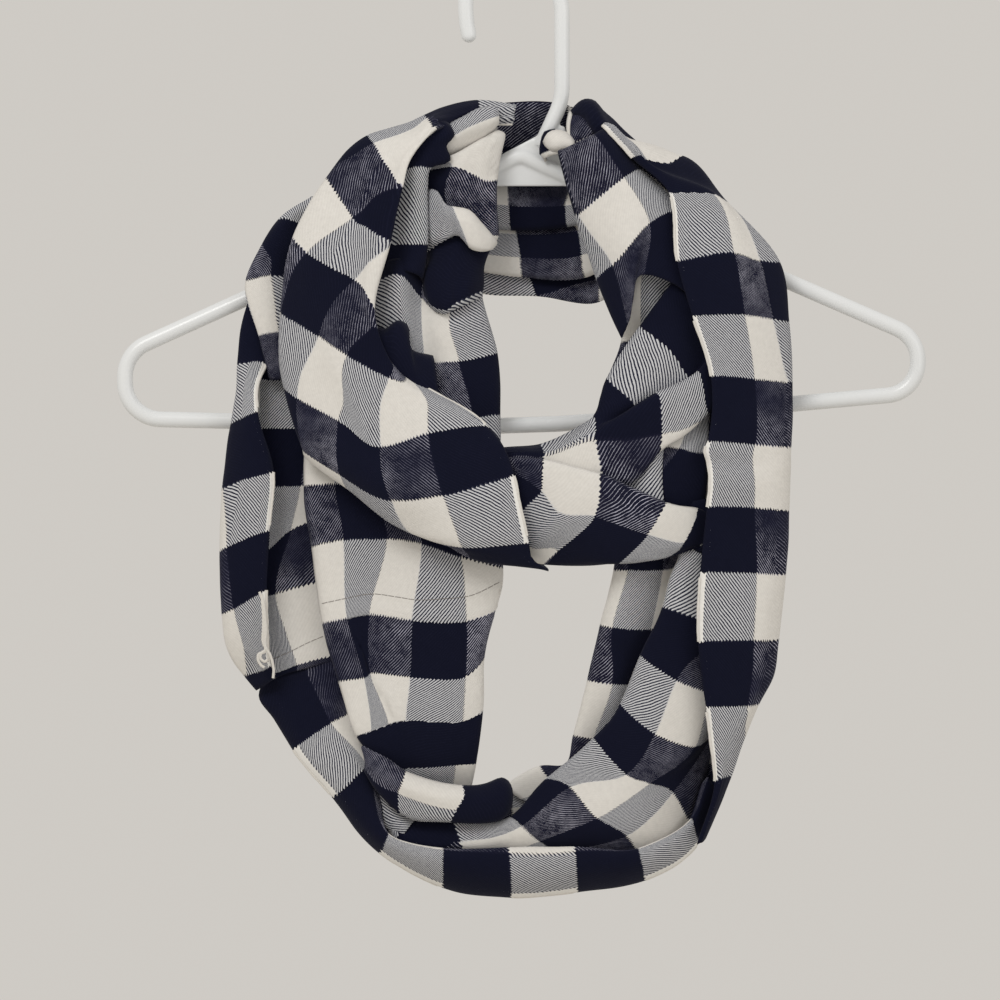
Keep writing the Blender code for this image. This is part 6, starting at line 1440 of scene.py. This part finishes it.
pieces = {}
trims = []
for number, (name, (sections, edged, stands_for_node, _)) in enumerate(STRETCHES.items()):
    grid, checks = loft(sections)
    grid = press_creases(grid, checks, CREASES.get(name, ()))
    grid = ripple(grid, number * RIPPLE_STEP)
    piece = cloth_mesh("cloth_" + name, grid, checks, ALL_NAVY.get(name, ()))
    piece.data.materials.append(cotton_edged if edged else cotton)
    pieces[name] = piece
    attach(piece, "root")
    if stands_for_node:
        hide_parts(name)
    if name in EDGE_YARN:
        line, radius = EDGE_YARN[name]
        edge = woven_edge("edge_" + name, grid[:, line], checks[:, line], radius)
        trims.append((edge, cream_yarn))

# ---------------------------------------------------------------- sewing and loose ends

bpy.context.view_layer.update()
trims.append((stitches("stitches_panel", pieces["left_panel"], PANEL_SEAM), sewing_thread))
trims.append((stitches("stitches_flap", pieces["left_outer"], FLAP_SEAM), sewing_thread))
loose_runs = [[(x, LOOSE_YARN_FRONT + LOOSE_YARN_LEAN * max(0.0, LOOSE_YARN_BEND - z), z)
               for x, z in along(end, LOOSE_YARN_PITCH)] for end in LOOSE_ENDS]
trims.append((yarn("loose_yarn_flap", loose_runs, LOOSE_YARN_RADIUS), cream_yarn))
tail = laid_on(pieces["left_panel"], along(THREAD_TAIL, TAIL_PITCH), TAIL_LIFT)
trims.append((yarn("thread_tail", [tail], TAIL_RADIUS), cream_yarn))
for piece, finish in trims:
    piece.data.materials.clear()
    piece.data.materials.append(finish)
    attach(piece, "root")

# ---------------------------------------------------------------- the hanger

hook = moulded_rod("hanger_hook_rod", HOOK_TIP, HOOK_HEADING, HOOK_RADIUS, HOOK_MOVES)
bpy.ops.mesh.primitive_uv_sphere_add(segments=ROD_SIDES, ring_count=ROD_SIDES // 2,
                                     radius=HOOK_RADIUS * MM,
                                     location=(HOOK_TIP[0] * MM, 0.0, HOOK_TIP[1] * MM))
tip = bpy.context.object
neck_left = NECK_APEX.lerp(ARM_END_LEFT, YOKE_TO_LEFT)
neck_right = NECK_APEX.lerp(ARM_END_RIGHT, YOKE_TO_RIGHT)
heading, moves = route((neck_left, NECK_APEX, neck_right), (YOKE_BEND,))
yoke = moulded_rod("hanger_yoke", neck_left, heading, ROD_RADIUS + YOKE_EXTRA, moves)
neck = moulded_in_one([hook, tip, yoke, hanger_web()], "hanger_hook_and_neck")

frame_start = NECK_APEX.lerp(ARM_END_LEFT, FRAME_FROM_LEFT)
frame_stop = NECK_APEX.lerp(ARM_END_RIGHT, FRAME_FROM_RIGHT)
heading, moves = route((frame_start, ARM_BEND_LEFT, ARM_END_LEFT, BAR_END_LEFT, BAR_SAG,
                        BAR_END_RIGHT, ARM_END_RIGHT, ARM_BEND_RIGHT, frame_stop), FRAME_BENDS)
rail = moulded_rod("hanger_frame", frame_start, heading, ROD_RADIUS, moves, sides=FRAME_SIDES)
select_only(rail)
bpy.ops.object.shade_smooth_by_angle(angle=math.radians(SMOOTH_BELOW))
for piece, nodes in ((neck, ("hanger_hook", "hanger_neck")),
                     (rail, ("hanger_arm_left", "hanger_arm_right"))):
    piece.data.materials.clear()
    piece.data.materials.append(plastic)
    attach(piece, "root")
    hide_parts(*nodes)

# ---------------------------------------------------------------- floor, light and camera

# Metres.
FLOOR_SIZE = 2.6
FLOOR_HEIGHT = -0.62
FLOOR_COLOR = (0.70, 0.675, 0.63, 1.0)
ROOM_COLOR = (0.620, 0.594, 0.556, 1.0)
VIEW_CENTRE = (-0.0083, -0.2844)       # x and z of the middle of the view
VIEW_WIDTH = 0.520                     # width of the view on the hanger's middle plane
VIEW_DISTANCE = 5.0
SENSOR_WIDTH = 36.0                    # millimetres

bpy.ops.object.select_all(action="DESELECT")
bpy.ops.mesh.primitive_plane_add(size=FLOOR_SIZE, location=(0.0, 0.0, FLOOR_HEIGHT))
floor = bpy.context.object
floor.name = "floor"
floor_finish = Recipe("pale floor")
floor_finish.shader.inputs["Base Color"].default_value = FLOOR_COLOR
floor_finish.shader.inputs["Roughness"].default_value = 0.9
floor.data.materials.append(floor_finish.material)

world = bpy.data.worlds.new("pale room")
bpy.context.scene.world = world
bpy.context.scene.view_settings.view_transform = "Standard"
world.use_nodes = True
world.node_tree.nodes["Background"].inputs["Color"].default_value = ROOM_COLOR
world.node_tree.nodes["Background"].inputs["Strength"].default_value = 1.0


def soft_light(name, place, aim, size, power, color):
    """A square soft box at a place, turned towards its aim."""
    lamp = bpy.data.lights.new(name, "AREA")
    lamp.shape = "SQUARE"
    lamp.size = size
    lamp.energy = power
    lamp.color = color
    box = bpy.data.objects.new(name, lamp)
    box.location = place
    box.rotation_euler = (Vector(aim) - Vector(place)).to_track_quat("-Z", "Y").to_euler()
    bpy.context.scene.collection.objects.link(box)


soft_light("window", place=(-0.9, -1.9, 1.3), aim=(0, 0, -0.28), size=1.0, power=21.0,
           color=(1.0, 0.99, 0.97))
soft_light("fill", place=(1.5, -1.8, 0.2), aim=(0, 0, -0.30), size=1.4, power=6.0,
           color=(0.97, 0.98, 1.0))

camera_data = bpy.data.cameras.new("camera")
camera_data.sensor_width = SENSOR_WIDTH
camera_data.lens = SENSOR_WIDTH * VIEW_DISTANCE / VIEW_WIDTH
camera_data.clip_end = 60.0
camera = bpy.data.objects.new("camera", camera_data)
camera.location = (VIEW_CENTRE[0], -VIEW_DISTANCE, VIEW_CENTRE[1])
camera.rotation_euler = (math.pi / 2, 0.0, 0.0)
bpy.context.scene.collection.objects.link(camera)
bpy.context.scene.camera = camera
